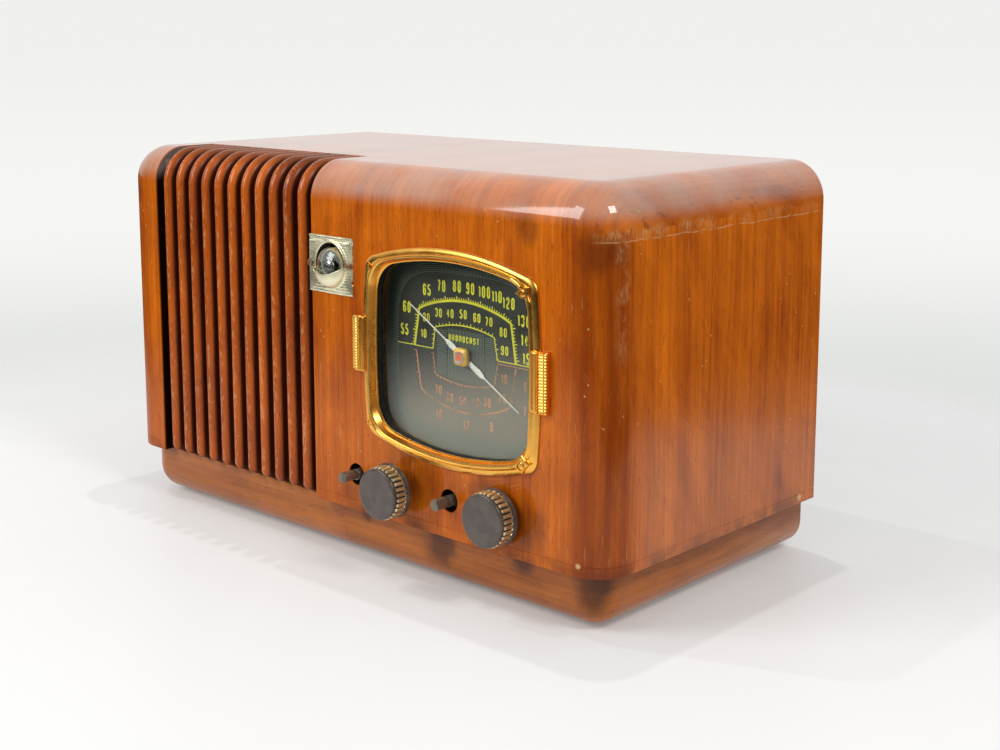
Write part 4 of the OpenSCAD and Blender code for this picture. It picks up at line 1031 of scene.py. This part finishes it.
def slotted_heads(name, places, face, r, finish, nodes=(), dome=0.9):
    """Round heads seated on depth face, each with a slot cut across it at an angle of its own."""
    rnd = random.Random(7)
    levels = [(1.0, 0.0), (1.0, 0.45), (0.94, 0.68), (0.75, 0.88), (0.45, 0.98), (0.0, 1.0)]
    reach, half, steps = r + 0.5, 0.32, 36
    heads, slots = [], []
    for x, z in places:
        turn = rnd.uniform(0, math.pi)
        c, s = math.cos(turn), math.sin(turn)

        def spun(points):
            return [(x + lx * c - lz * s, y, z + lx * s + lz * c) for lx, y, lz in points]

        verts, faces = turned([(share * r, -dome * rise) for share, rise in levels], 0, 0, steps, face)
        heads.append((spun(verts), faces + [tuple(range(steps))]))
        slots.append((
            spun([(lx, face - dome + y, lz) for y in (-0.5, 0.55)
                  for lx, lz in ((-reach, -half), (reach, -half), (reach, half), (-reach, half))]),
            [(0, 1, 2, 3), (7, 6, 5, 4), (0, 4, 5, 1), (1, 5, 6, 2), (2, 6, 7, 3), (3, 7, 4, 0)]))
    obj = add_piece(name, join_parts(heads), finish, nodes)
    verts, faces = join_parts(slots)
    cutter_mesh = bpy.data.meshes.new(name + "_slots")
    cutter_mesh.from_pydata([place(*v) for v in verts], [], faces)
    cutter = add_object(name + "_slots", cutter_mesh)
    cut = obj.modifiers.new("slots", "BOOLEAN")
    cut.object = cutter
    cut.operation = "DIFFERENCE"
    cut.solver = "EXACT"
    bpy.context.view_layer.update()
    shaped = bpy.data.meshes.new_from_object(obj.evaluated_get(bpy.context.evaluated_depsgraph_get()))
    obj.modifiers.clear()
    obj.data = shaped
    bpy.data.objects.remove(cutter)
    smooth_by_angle(obj, 40)


# Numerals and letters in a box one wide and two high. Each stroke of the pen gives its points, across and up,
# and a stroke that ends at its start is a loop.
GLYPHS = {
    "0": ["0 0, 1 0, 1 2, 0 2, 0 0"],
    "1": ["0.2 1.6, 0.62 2, 0.62 0"],
    "2": ["0 1.5, 0 2, 1 2, 1 1.15, 0 0.45, 0 0, 1 0"],
    "3": ["0 1.6, 0 2, 1 2, 1 1.05, 0.4 1.05", "0.4 1.05, 1 1.05, 1 0, 0 0, 0 0.4"],
    "4": ["1 0.6, 0 0.6, 0.7 2, 0.7 0"],
    "5": ["1 2, 0 2, 0 1.15, 1 1.15, 1 0, 0 0, 0 0.4"],
    "6": ["1 1.6, 1 2, 0 2, 0 0, 1 0, 1 1.15, 0.1 1.15"],
    "7": ["0 2, 1 2, 0.4 0"],
    "8": ["0 0, 1 0, 1 1.05, 0 1.05, 0 0", "0.06 1.05, 0.94 1.05, 0.94 2, 0.06 2, 0.06 1.05"],
    "9": ["0 0.4, 0 0, 1 0, 1 2, 0 2, 0 0.9, 0.9 0.9"],
    "A": ["0 0, 0 2, 1 2, 1 0", "0 0.9, 1 0.9"],
    "B": ["0 0, 1 0, 1 1.05, 0 1.05, 0 0", "0 1.05, 0.95 1.05, 0.95 2, 0 2, 0 1.05"],
    "C": ["1 0.55, 1 0, 0 0, 0 2, 1 2, 1 1.45"],
    "R": ["0 0, 0 2, 1 2, 1 1, 0 1", "0.45 1, 1 0"],
    "S": ["1 1.6, 1 2, 0 2, 0 1.05, 1 1.05, 1 0, 0 0, 0 0.4"],
    "T": ["0 2, 1 2", "0.5 2, 0.5 0"],
}
GLYPHS["D"] = GLYPHS["O"] = GLYPHS["0"]


def rounded_path(points, closed, cut):
    """The path with each corner cut back into two points."""
    out = []
    n = len(points)
    for k, p in enumerate(points):
        if not closed and k in (0, n - 1):
            out.append(p)
            continue
        a, b = points[k - 1], points[(k + 1) % n]
        for q in (a, b):
            length = math.hypot(q[0] - p[0], q[1] - p[1])
            share = min(0.45, cut / length)
            out.append((p[0] + (q[0] - p[0]) * share, p[1] + (q[1] - p[1]) * share))
    return out


def stroke(points, width, closed=False):
    """A thin line on the dial's face along points given as (x, z) from its middle."""
    n, thick = len(points), 0.08
    left, right = [], []
    for k, p in enumerate(points):
        a = points[k - 1] if closed or k > 0 else p
        b = points[(k + 1) % n] if closed or k < n - 1 else p
        d1 = Vector((p[0] - a[0], p[1] - a[1])) if a != p else Vector((b[0] - p[0], b[1] - p[1]))
        d2 = Vector((b[0] - p[0], b[1] - p[1])) if b != p else d1
        d1.normalize()
        d2.normalize()
        normal = Vector((-d1.y - d2.y, d1.x + d2.x))
        if normal.length < 1e-6:
            normal = Vector((-d1.y, d1.x))
        normal.normalize()
        grow = min(1.6, 1 / max(0.3, normal.dot(Vector((-d1.y, d1.x)))))
        off = normal * width / 2 * grow
        left.append((p[0] + off.x + print_x, p[1] + off.y + print_z))
        right.append((p[0] - off.x + print_x, p[1] - off.y + print_z))
    rings = []
    for k in range(n):
        (lx, lz), (rx, rz) = left[k], right[k]
        rings.append([(dial_x + x, dial_face - rise, dial_z + z)
                      for x, z, rise in ((lx, lz, 0), (rx, rz, 0), (rx, rz, thick), (lx, lz, thick))])
    return loft(rings, closed_loft=True) if closed else capped(loft(rings), 4)


def word(text, x, z, height, weight, spread):
    """Strokes for a word centred at (x, z) from the dial's middle."""
    wide = height * spread
    step = wide + weight * 1.35
    parts = []
    widths = [0.62 if letter == "1" else 1.0 for letter in text]
    steps = [0.0] + [step * (p + q) / 2 for p, q in zip(widths, widths[1:])]
    start = x - sum(steps) / 2
    for letter, ahead in zip(text, steps):
        start += ahead
        for pen in GLYPHS[letter]:
            path = [tuple(map(float, point.split())) for point in pen.split(",")]
            closed = path[0] == path[-1]
            path = rounded_path(path[:-1] if closed else path, closed, 0.3)
            span_x, span_z = wide - weight, height - weight
            points = [(start + (px - 0.5) * span_x, z + (pz / 2 - 0.5) * span_z) for px, pz in path]
            parts.append(stroke(points, weight, closed))
    return parts


def figures(numbers, places, *style):
    """The numbers of a scale, each centred at its own place."""
    return [part for number, (x, z) in zip(numbers, places) for part in word(str(number), x, z, *style)]


def scale_line(half_wide, foot, shoulder, crown, sign):
    """A scale's arched line, as points from its left foot over the crown to its right foot."""
    left, right = half_wide
    points = [(left[0], sign * foot), (left[1], sign * shoulder)]
    steps = 24
    for k in range(1, steps):
        t = k / steps
        x = left[1] + (right[1] - left[1]) * t
        points.append((x, sign * (shoulder + (crown - shoulder) * math.sin(math.pi * t) ** 0.8)))
    points += [(right[1], sign * shoulder), (right[0], sign * foot)]
    return points


def along_path(points, step):
    """(point, outward direction) every step along a path."""
    out, carry = [], 0.0
    for a, b in zip(points, points[1:]):
        length = math.hypot(b[0] - a[0], b[1] - a[1])
        t = carry
        while t < length:
            share = t / length
            d = ((b[0] - a[0]) / length, (b[1] - a[1]) / length)
            out.append(((a[0] + (b[0] - a[0]) * share, a[1] + (b[1] - a[1]) * share), (-d[1], d[0])))
            t += step
        carry = t - length
    return out


def ticks(points, step, short, tall, every, width, sign=1):
    parts = []
    for k, (p, out) in enumerate(along_path(points, step)):
        reach = tall if k % every == 0 else short
        q = (p[0] + out[0] * reach * sign, p[1] + out[1] * reach * sign)
        parts.append(stroke([p, q], width))
    return parts


def dial_print():
    """The printed scales: yellow above the middle line, faded orange below it."""
    outer = scale_line(((-38.8, -35.0), (35.9, 32.5)), 0.9, 21.8, 29.4, 1)
    inner = scale_line(((-24.6, -22.9), (22.9, 20.7)), 0.9, 12.8, 16.2, 1)
    yellow = [stroke(outer, 1.3), stroke(inner, 0.65)]
    yellow += ticks(outer, 1.7, 1.7, 2.6, 5, 0.6) + ticks(inner, 2.6, 1.1, 1.8, 3, 0.45)
    yellow += [stroke([(-52, 0.9), (-24.6, 0.9)], 0.5), stroke([(22.9, 0.9), (52, 0.9)], 0.5)]
    outer_places = [(-46.7, 8.7), (-44.8, 21.5), (-29.1, 32.7), (-18, 36), (-6.4, 37.1), (3.4, 36.9),
                    (13.4, 36.3), (22.3, 34.9), (30.6, 32.4), (41.0, 24.4), (43.4, 14.4), (44.6, 4.8)]
    yellow += figures((55, 60, 65, *range(70, 151, 10)), outer_places, 6.3, 0.88, 0.37)
    inner_places = [(-31.9, 8.3), (-29.6, 17.4), (-20.3, 21.1), (-11.5, 21.8), (-1.8, 22.5), (8.2, 21.8),
                    (16.8, 20.9), (27, 16.6), (28, 7)]
    yellow += figures(range(10, 91, 10), inner_places, 4.9, 0.7, 0.42)
    yellow += word("BROADCAST", -1.4, 8.9, 3.5, 0.62, 0.5)
    add_piece("dial_upper_scales", join_parts(yellow), "scale_yellow", smooth=False)
    outer = scale_line(((-37.5, -34.0), (35.9, 31.8)), 1.6, 22.5, 31.0, -1)
    inner = scale_line(((-24.6, -22.9), (22.9, 20.7)), 1.6, 12.8, 16.2, -1)
    orange = [stroke(outer, 0.7), stroke(inner, 0.45)]
    orange += ticks(outer, 3.1, 1.1, 2.0, 4, 0.36, -1) + ticks(inner, 2.6, 0.9, 1.5, 3, 0.34, -1)
    orange += [stroke([(22.9, -0.7), (52, -0.7)], 0.4)]
    lower_inner_places = [(27.6, -8.1), (26.4, -18.4), (15.6, -22.7), (7.2, -23.9), (-2.4, -25.0),
                          (-12.1, -24.4), (-20.6, -21.4)]
    orange += figures(range(10, 71, 10), lower_inner_places, 4.9, 0.7, 0.42)
    lower_outer_places = [(42.5, -10.1), (42.0, -23.0), (18.6, -35.4), (0.0, -37.6), (-20.5, -35.0)]
    orange += figures((6, 7, 9, 12, 16), lower_outer_places, 5.4, 0.8, 0.42)
    add_piece("dial_lower_scales", join_parts(orange), "scale_orange", smooth=False)


pointer_turn = math.radians(31)


def turned_with_pointer(points):
    c, s = math.cos(pointer_turn), math.sin(pointer_turn)
    return [(dial_x + x * c + z * s, y, dial_z - x * s + z * c) for x, y, z in points]


def dial_needle():
    """A white needle: a ridged spear on each side of the hub, drawn out to a fine tip."""
    parts = []
    for side, end in ((-1, 15.0), (1, 18.5)):
        stations = [(4.6, 0.9), (6.0, 1.4), (end - 5, 1.8), (end - 2.2, 1.4), (end, 0.46), (36.0, 0.4),
                    (46.0, 0.3), (46.9, 0.06)]
        rings = [turned_with_pointer([(side * x, 12.1, -half), (side * x, 11.85, -half), (side * x, 11.45, 0),
                                      (side * x, 11.85, half), (side * x, 12.1, half)])
                 for x, half in stations]
        parts.append(capped(loft(rings), 5))
    add_piece("dial_needle", join_parts(parts), "pointer_paint", ["dial_pointer"], "tuner", smooth=False)
    profile = [(0.0, 8.5), (0.3, 8.55), (0.62, 8.8), (0.8, 9.2), (0.86, 9.6), (0.97, 9.75), (1.0, 10.2),
               (1.0, 12.0), (0.9, 12.5), (0.6, 12.5)]
    rings = []
    for share, depth in profile:
        rings.append([(dial_x + c * share * 4.9 / (c ** 4 + s ** 4) ** 0.25, depth,
                       dial_z + s * share * 4.9 / (c ** 4 + s ** 4) ** 0.25) for c, s in circle(64)])
    add_piece("needle_hub", loft(rings), "amber_hub", body="tuner")


# Tuning eye
eye_hole_r = 12.5
hole_x = -2.4  # the eye's axis beside the middle of its plate


def eye_surround():
    """A thin ribbed plate with a rolled rim round its window, and its bulging lower lid."""
    left, right, half_h = -20.2, 16.6, 16.3
    steps, rings_n = 208, 34
    rnd = random.Random(3)
    nicks = [(rnd.uniform(-half_h, half_h), rnd.uniform(0.15, 0.8), rnd.uniform(0.5, 1.5)) for _ in range(16)]

    def edge_point(a):
        c, s = math.cos(a), math.sin(a)
        wide = right - hole_x if c > 0 else hole_x - left
        t = min(wide / max(1e-6, abs(c)), half_h / max(1e-6, abs(s)))
        x, z = hole_x + c * t, s * t
        if x > right - 0.01:
            x -= sum(d * math.exp(-((z - nz) / w) ** 2) for nz, d, w in nicks)
        return x, z

    rings = []
    for k in range(rings_n + 1):
        share = k / rings_n
        ring = []
        for i in range(steps):
            a = 2 * math.pi * (i + 0.5) / steps
            ex, ez = edge_point(a)
            hx, hz = hole_x + eye_hole_r * math.cos(a), eye_hole_r * math.sin(a)
            x, z = hx + (ex - hx) * share, hz + (ez - hz) * share
            out = math.hypot(x - hole_x, z) - eye_hole_r
            rib = 0.22 * abs(math.sin(math.pi * z / 1.6)) ** 0.7
            rim = 1.15 * math.exp(-((out - 0.75) / 0.7) ** 2) * (0.55 + 0.45 * math.cos(a - 0.6))
            fold = 0.5 * math.exp(-((z - 13.6) / 0.35) ** 2)
            dent = 0.4 * math.exp(-((x - 12.5) ** 2 + (z - 12) ** 2) / 6)
            fade = min(1.0, out / 1.6)
            ring.append((eye_x + x, -0.75 - rib * fade - rim + fold * fade + dent * fade, eye_z + z))
        rings.append(ring)
    deep, inner = [[(x, depth, z) for x, _, z in rings[0]] for depth in (0.5, -0.5)]
    outer = [(x, 0.0, z) for x, _, z in rings[-1]]
    add_piece("eye_surround", loft([deep, inner] + rings + [outer]), "eye_brass", ["eye_plate"], crisp=50)
    rows, columns = 20, 40
    lid = []
    r = eye_hole_r + 0.4
    for k in range(rows + 1):
        ring = []
        for i in range(columns + 1):
            x = r * math.sin(math.pi / 2 * (2 * i / columns - 1)) * 0.998
            low = -math.sqrt(max(0.0, r * r - x * x))
            lip = max(low, -5.0 + 1.0 * (x / r) + 3.6 * (x / r) ** 2)
            z = lip + (low - lip) * k / rows
            bulge = math.sqrt(max(0.0, 1 - (x * x + z * z) / (r * r)))
            ring.append((eye_x + hole_x + x, -0.8 - 5.9 * bulge ** 0.8, eye_z + z))
        lid.append(ring)
    obj = add_piece("eye_lid", loft(lid, closed_ring=False), "eye_brass")
    thick = obj.modifiers.new("sheet", "SOLIDIFY")
    thick.thickness = 0.6 * MM
    thick.offset = 0


def eye_bulb():
    """The eye tube's glass with its target cup and cap behind the dome, its black sleeve and its base."""
    _, (y0, y1), _ = across("eye_tube")
    f = -5.7  # depth of the dome's front
    x, z = eye_x + hole_x, eye_z - 0.9
    long = y0 - f
    glass = [(0.0, 0), (2.9, 0.25), (5.6, 0.95), (7.9, 2.0), (9.7, 3.2), (10.9, 4.5), (11.6, 6.0), (11.8, 8),
             (11.8, long + 60), (11.3, long + 62), (10.9, long + 62), (11.3, long + 59), (11.3, 8.4),
             (11.0, 6.6), (10.3, 5.2), (9.1, 4.0), (7.3, 2.8), (5.1, 1.8), (2.6, 1.1), (0.0, 0.9)]
    add_piece("eye_bulb", turned(glass, x, z, start=f), "eye_glass", ["eye_tube"])
    cup = [(2.6, 8.6), (3.6, 8.2), (8.4, 5.6), (9.4, 5.6), (9.9, 6.4), (10.2, 30), (0.0, 30)]
    add_piece("eye_target", turned(cup, x, z, 56, f), "eye_target")
    cap = [(0.0, 2.2), (2.4, 2.5), (4.2, 3.4), (4.6, 4.3), (4.2, 4.9), (1.2, 5.2), (1.0, 10)]
    add_piece("eye_cap", turned(cap, x, z, 48, f), "eye_cap")
    # a black sleeve round the tube's front; its black is partly painted shade inside the eye's hole
    sleeve = [(12.05, -0.42), (15.0, -0.42), (15.0, -0.1), (12.9, -0.05), (12.9, 20.0), (12.05, 20.0)]
    add_piece("eye_sleeve", turned(sleeve, x, eye_z, 56, closed=True), "black_card")
    base = [(0.0, y0 + 61), (12.6, y0 + 61), (14.2, y0 + 62), (14.6, y0 + 63), (14.8, y1 - 9), (16.8, y1 - 8),
            (17.0, y1 - 7), (17.0, y1 - 1), (16.2, y1), (0.0, y1)]
    add_piece("eye_base", turned(base, eye_x, eye_z, 48), "phenolic", crisp=40)


# Controls
def knob(name, x, body, node):
    """A flat-faced knob with a turned edge, its notched metal band and its thin rear flange."""
    y = across(node)[1][0]
    face = [(0.0, 0.12), (4.0, 0.1), (12.6, 0.0), (13.5, 0.03), (13.95, 0.25), (14.2, 0.75), (14.25, 1.3),
            (14.1, 1.8), (13.4, 1.9), (13.2, 9.0), (14.6, 9.0), (15.3, 9.3), (15.4, 10.2), (15.5, 11.0),
            (3.3, 11.0)]
    add_piece(name + "_face", turned(face, x, control_z, 96, y), "knob_plastic", [node], body, crisp=50)
    teeth, per_tooth = 30, 10
    levels = [(13.2, 2.0), (13.6, 2.05), (14.3, 2.3), (14.75, 2.9), (14.9, 4.4), (14.95, 6.5), (14.95, 8.2),
              (14.6, 8.8), (13.2, 8.95)]
    rings = []
    for r, depth in levels:
        ring = []
        for k, (c, s) in enumerate(circle(teeth * per_tooth)):
            t = (k % per_tooth) / per_tooth
            gap = 1.0 if t < 0.3 else (0.3 if t < 0.4 or t >= 0.9 else 0.0)
            rr = max(13.1, r - 1.5 * gap) if r > 13.5 and depth < 8.5 else r
            ring.append((x + rr * c, y + depth, control_z + rr * s))
        rings.append(ring)
    add_piece(name + "_band", loft(rings), "knob_band", body=body, crisp=30)


dial_rim()
slotted_heads("rim_screws", [boss_at(1, sz) for sz in (-1, 1)], -3.1, 2.1, "gilt_brass",
              ["escutcheon_screws"])
slotted_heads("rim_screws_left", [boss_at(-1, sz) for sz in (-1, 1)], -2.3, 1.5, "gilt_brass", dome=0.7)
dial_print()
dial_needle()
eye_surround()
slotted_heads("eye_screws", [(eye_x - 19.2, eye_z - 0.2), (eye_x + 13.6, eye_z + 0.6)], -1.3, 1.9,
              "rusty_steel", ["eye_plate_screws"], 1.1)
eye_bulb()
knob("volume_knob", volume_x, "volume_spindle", "volume_knob")
knob("tuning_knob", tuning_x, "tuning_spindle", "tuning_knob")
for shaft, body in (("tone_shaft", "tone_spindle"), ("band_shaft", "band_spindle")):
    softened(shaft + "_turned", shaft, 0.25, body=body)


# Inside
def valves(name, node, places, r):
    """Glass bulbs with their plates, micas and getter, on moulded bases."""
    _, _, (z0, z1) = across(node)
    base_r, base_h = 15.0, 22.0
    foot, rise, tip = z0 + base_h, z1 - z0 - base_h, 0.62 * r
    outline = [(base_r - 1.5, 0), (base_r - 0.9, 0.05), (base_r + (r - base_r) * 0.45, 0.14), (r - 0.6, 0.24),
               (r, 0.33), (r, 0.45), (r - 1.3, 0.56), (tip + 2.6, 0.66), (tip + 0.7, 0.73), (tip, 0.79),
               (tip, 0.88), (tip * 0.88, 0.94), (tip * 0.6, 0.98), (0, 1)]
    skin = [(a, foot + t * rise) for a, t in outline]
    skin += [(max(0.0, a - 0.8), foot + t * rise - (0.8 if t > 0.93 else 0)) for a, t in reversed(outline)]
    base = [(0, z0), (base_r - 1.2, z0), (base_r - 0.3, z0 + 0.6), (base_r, z0 + 2),
            (base_r, z0 + base_h - 3), (base_r - 0.5, z0 + base_h - 2.4), (base_r - 0.5, z0 + base_h - 0.7),
            (base_r - 1.0, z0 + base_h), (0, z0 + base_h)]
    plate = [(0, 0.08), (0.42 * r, 0.08), (0.46 * r, 0.1), (0.46 * r, 0.5), (0.42 * r, 0.52), (0, 0.52)]
    glass, foots, plates, micas, flashes = [], [], [], [], []
    for px, pd in places:
        x, depth = dial_x + px, chassis_front + pd
        glass.append(stood(skin, x, depth))
        foots.append(stood(base, x, depth))
        body_verts, body_faces = stood([(a, foot + t * rise) for a, t in plate], x, depth, 24)
        plates.append(([(x + (vx - x) * 1.25, depth + (vy - depth) * 0.7, vz) for vx, vy, vz in body_verts],
                       body_faces))
        for sx in (-1, 1):
            plates.append(stood([(0.45, foot), (0.45, foot + 0.76 * rise)], x + sx * 0.44 * r, depth, 10))
        for t, share in ((0.07, 0.66), (0.54, 0.7), (0.74, 0.5)):
            level, edge = foot + t * rise, share * r
            disc = [(0, level), (edge, level), (edge, level + 0.5), (0, level + 0.5)]
            micas.append(stood(disc, x, depth, 12))
        flash = [(tip - 0.95, 0.82), (tip - 0.95, 0.88), (tip * 0.88 - 0.95, 0.935), (tip * 0.6 - 0.9, 0.967),
                 (0.01, 0.982)]
        flashes.append(stood([(a, foot + t * rise) for a, t in flash], x, depth))
    for part_name, parts, finish, slot, nodes in (
            ("glass", glass, "tube_glass", "tube_glass", [node]),
            ("bases", foots, "phenolic", "phenolic", ()),
            ("plates", plates, "valve_plate", "control_case", ()),
            ("micas", micas, "mica", "tube_glass", ()),
            ("getters", flashes, "getter", "tube_glass", ())):
        add_piece(f"{name}_{part_name}", join_parts(parts), finish, nodes, crisp=40)


chassis_front = across("chassis")[1][0]
valves("signal_valves", "signal_tubes", [(-41, 32), (-80, 82), (-80, 122)], 17)
valves("output_valve", "output_tube", [(10, 116)], 19.5)
valves("rectifier_valve", "rectifier_tube", [(62, 46)], 19.5)
# CAD nodes that only need softer edges, with their bevels' widths
plain_parts = {
    "chassis": ("chassis_pan", 1.2), "power_transformer": ("mains_transformer", 1.6),
    "output_transformer": ("sound_transformer", 0.8), "if_cans": ("coil_cans", 1.8),
    "filter_capacitor": ("smoothing_can", 1.2), "speaker_basket": ("speaker_frame", 0.35),
    "speaker_magnet": ("speaker_pot", 1.2), "terminal_strip": ("aerial_strip", 0.5),
    "cord_grommet": ("rubber_grommet", 0.7), "tube_sockets": ("valve_sockets", 0.5),
    "bottom_board": ("floor_board", 0.4), "gang_frame": ("tuner_frame", 0.3),
    "dial_bracket": ("dial_mount", 0.3), "volume_control": ("volume_case", 0.15),
    "tone_control": ("tone_case", 0.15),
}
for node, (piece_name, width) in plain_parts.items():
    softened(piece_name, node, width)


# Light, floor and camera
def soft_light(name, toward, distance, size, power, mirrored=True):
    """A soft rectangular light in a direction from the radio, aimed back at it."""
    data = bpy.data.lights.new(name, "AREA")
    data.shape = "RECTANGLE"
    data.size, data.size_y = size
    data.energy = power
    lamp = add_object(name, data)
    aim = Vector((0, 0, 0.11))
    lamp.location = aim + Vector(toward).normalized() * distance
    lamp.rotation_euler = (aim - lamp.location).to_track_quat("-Z", "Y").to_euler()
    lamp.visible_glossy = mirrored


def studio_floor():
    """A pale round floor that fades out into the pale air around it."""
    steps, reach = 96, 1.1
    verts, faces = [(0, 0, 0)], []
    for k in range(steps):
        a = 2 * math.pi * k / steps
        verts.append((reach * math.cos(a), reach * math.sin(a), 0))
        faces.append((0, k + 1, (k + 1) % steps + 1))
    mesh = bpy.data.meshes.new("studio_floor")
    mesh.from_pydata(verts, [], faces)
    floor = add_object("studio_floor", mesh)

    def build(n):
        at = n.place()
        x, y, _ = n.split(at)
        toward_back = n.span(x + y, -0.1, 0.35)
        edge_in = n.span(toward_back, 0, 1, 0.36, 0.45)
        edge_out = n.span(toward_back, 0, 1, 0.8, 0.58)
        return {
            "Base Color": n.mix(n.noise(at, 3.0, 2), (0.59, 0.595, 0.59), (0.61, 0.615, 0.61)),
            "Roughness": n.cloudy(at, 25.0, 0.4, 0.5),
            "Alpha": n.span(n.distance(at), edge_out, edge_in),
        }
    mesh.materials.append(material("pale studio floor", build, Specular_IOR_Level=0.12,
                                   Emission_Color=(1.0, 0.995, 0.98, 1.0), Emission_Strength=0.17))


def studio_air():
    """Pale air: even for soft light, pale behind the radio and dim in front of it for reflections."""
    world = bpy.data.worlds.new("studio air")
    bpy.context.scene.world = world
    world.use_nodes = True
    n = Nodes(world.node_tree)
    x, y, z = n.split(n.values(n.add("ShaderNodeTexCoord"))["Generated"])
    behind = n.span(x * -0.68 + y * 0.73, 0.1, 0.6)
    backdrop = behind * n.span(z, -0.02, 0.05)
    room = n.mix(n.span(z, 0.05, 0.6), (0.012, 0.011, 0.01), (0.3, 0.29, 0.28))
    mirrored = n.mix(backdrop, room, (0.9, 0.88, 0.86))
    even = n.mix(n.span(z, -0.2, 0.9), (0.5, 0.5, 0.5), (0.62, 0.62, 0.63))
    ray = n.values(n.add("ShaderNodeLightPath"))
    seen = n.mix(ray["Is Glossy Ray"], even, mirrored)
    air = n.mix(n.span(z, 0.0, -0.1), (0.87, 0.87, 0.85), (0.915, 0.92, 0.895))
    air = n.mix(n.span(z, -0.12, -0.22), air, (0.75, 0.765, 0.745))
    air = n.mix(n.span(z, -0.26, -0.335), air, (0.945, 0.94, 0.91))
    air = n.mix(n.span(z, -0.39, -0.46), air, (0.82, 0.79, 0.765))
    seen = n.mix(ray["Is Camera Ray"], seen, air)
    n.feed(world.node_tree.nodes["Background"].inputs[0], seen)
    world.cycles.sampling_method = "NONE"


def studio():
    studio_floor()
    studio_air()
    soft_light("front softbox", (-0.36, -0.77, 0.52), 1.6, (0.75, 0.75), 13.5)
    soft_light("right softbox", (0.73, -0.16, 0.65), 1.4, (0.36, 0.36), 6.5)
    soft_light("ceiling lamp", (-0.03, 0.18, 1.69), 1.7, (0.03, 0.03), 4.6, False)
    soft_light("left ceiling lamp", (-0.75, -0.45, 1.76), 1.96, (0.03, 0.03), 3.6, False)


def camera():
    focal_px, frame_px = 1512.7, 1000
    yaw, pitch = 0.7432, 0.1585
    data = bpy.data.cameras.new("photo camera")
    data.sensor_width = 36
    data.lens = focal_px * data.sensor_width / frame_px
    data.shift_y = -0.1
    data.clip_start = 0.01
    view = add_object("photo camera", data)
    view.location = place(642.18, -556.17, 301.2)
    view.rotation_euler = (math.pi / 2 - pitch, 0, yaw)
    bpy.context.scene.camera = view


studio()
camera()
bpy.context.scene.view_settings.view_transform = "Standard"
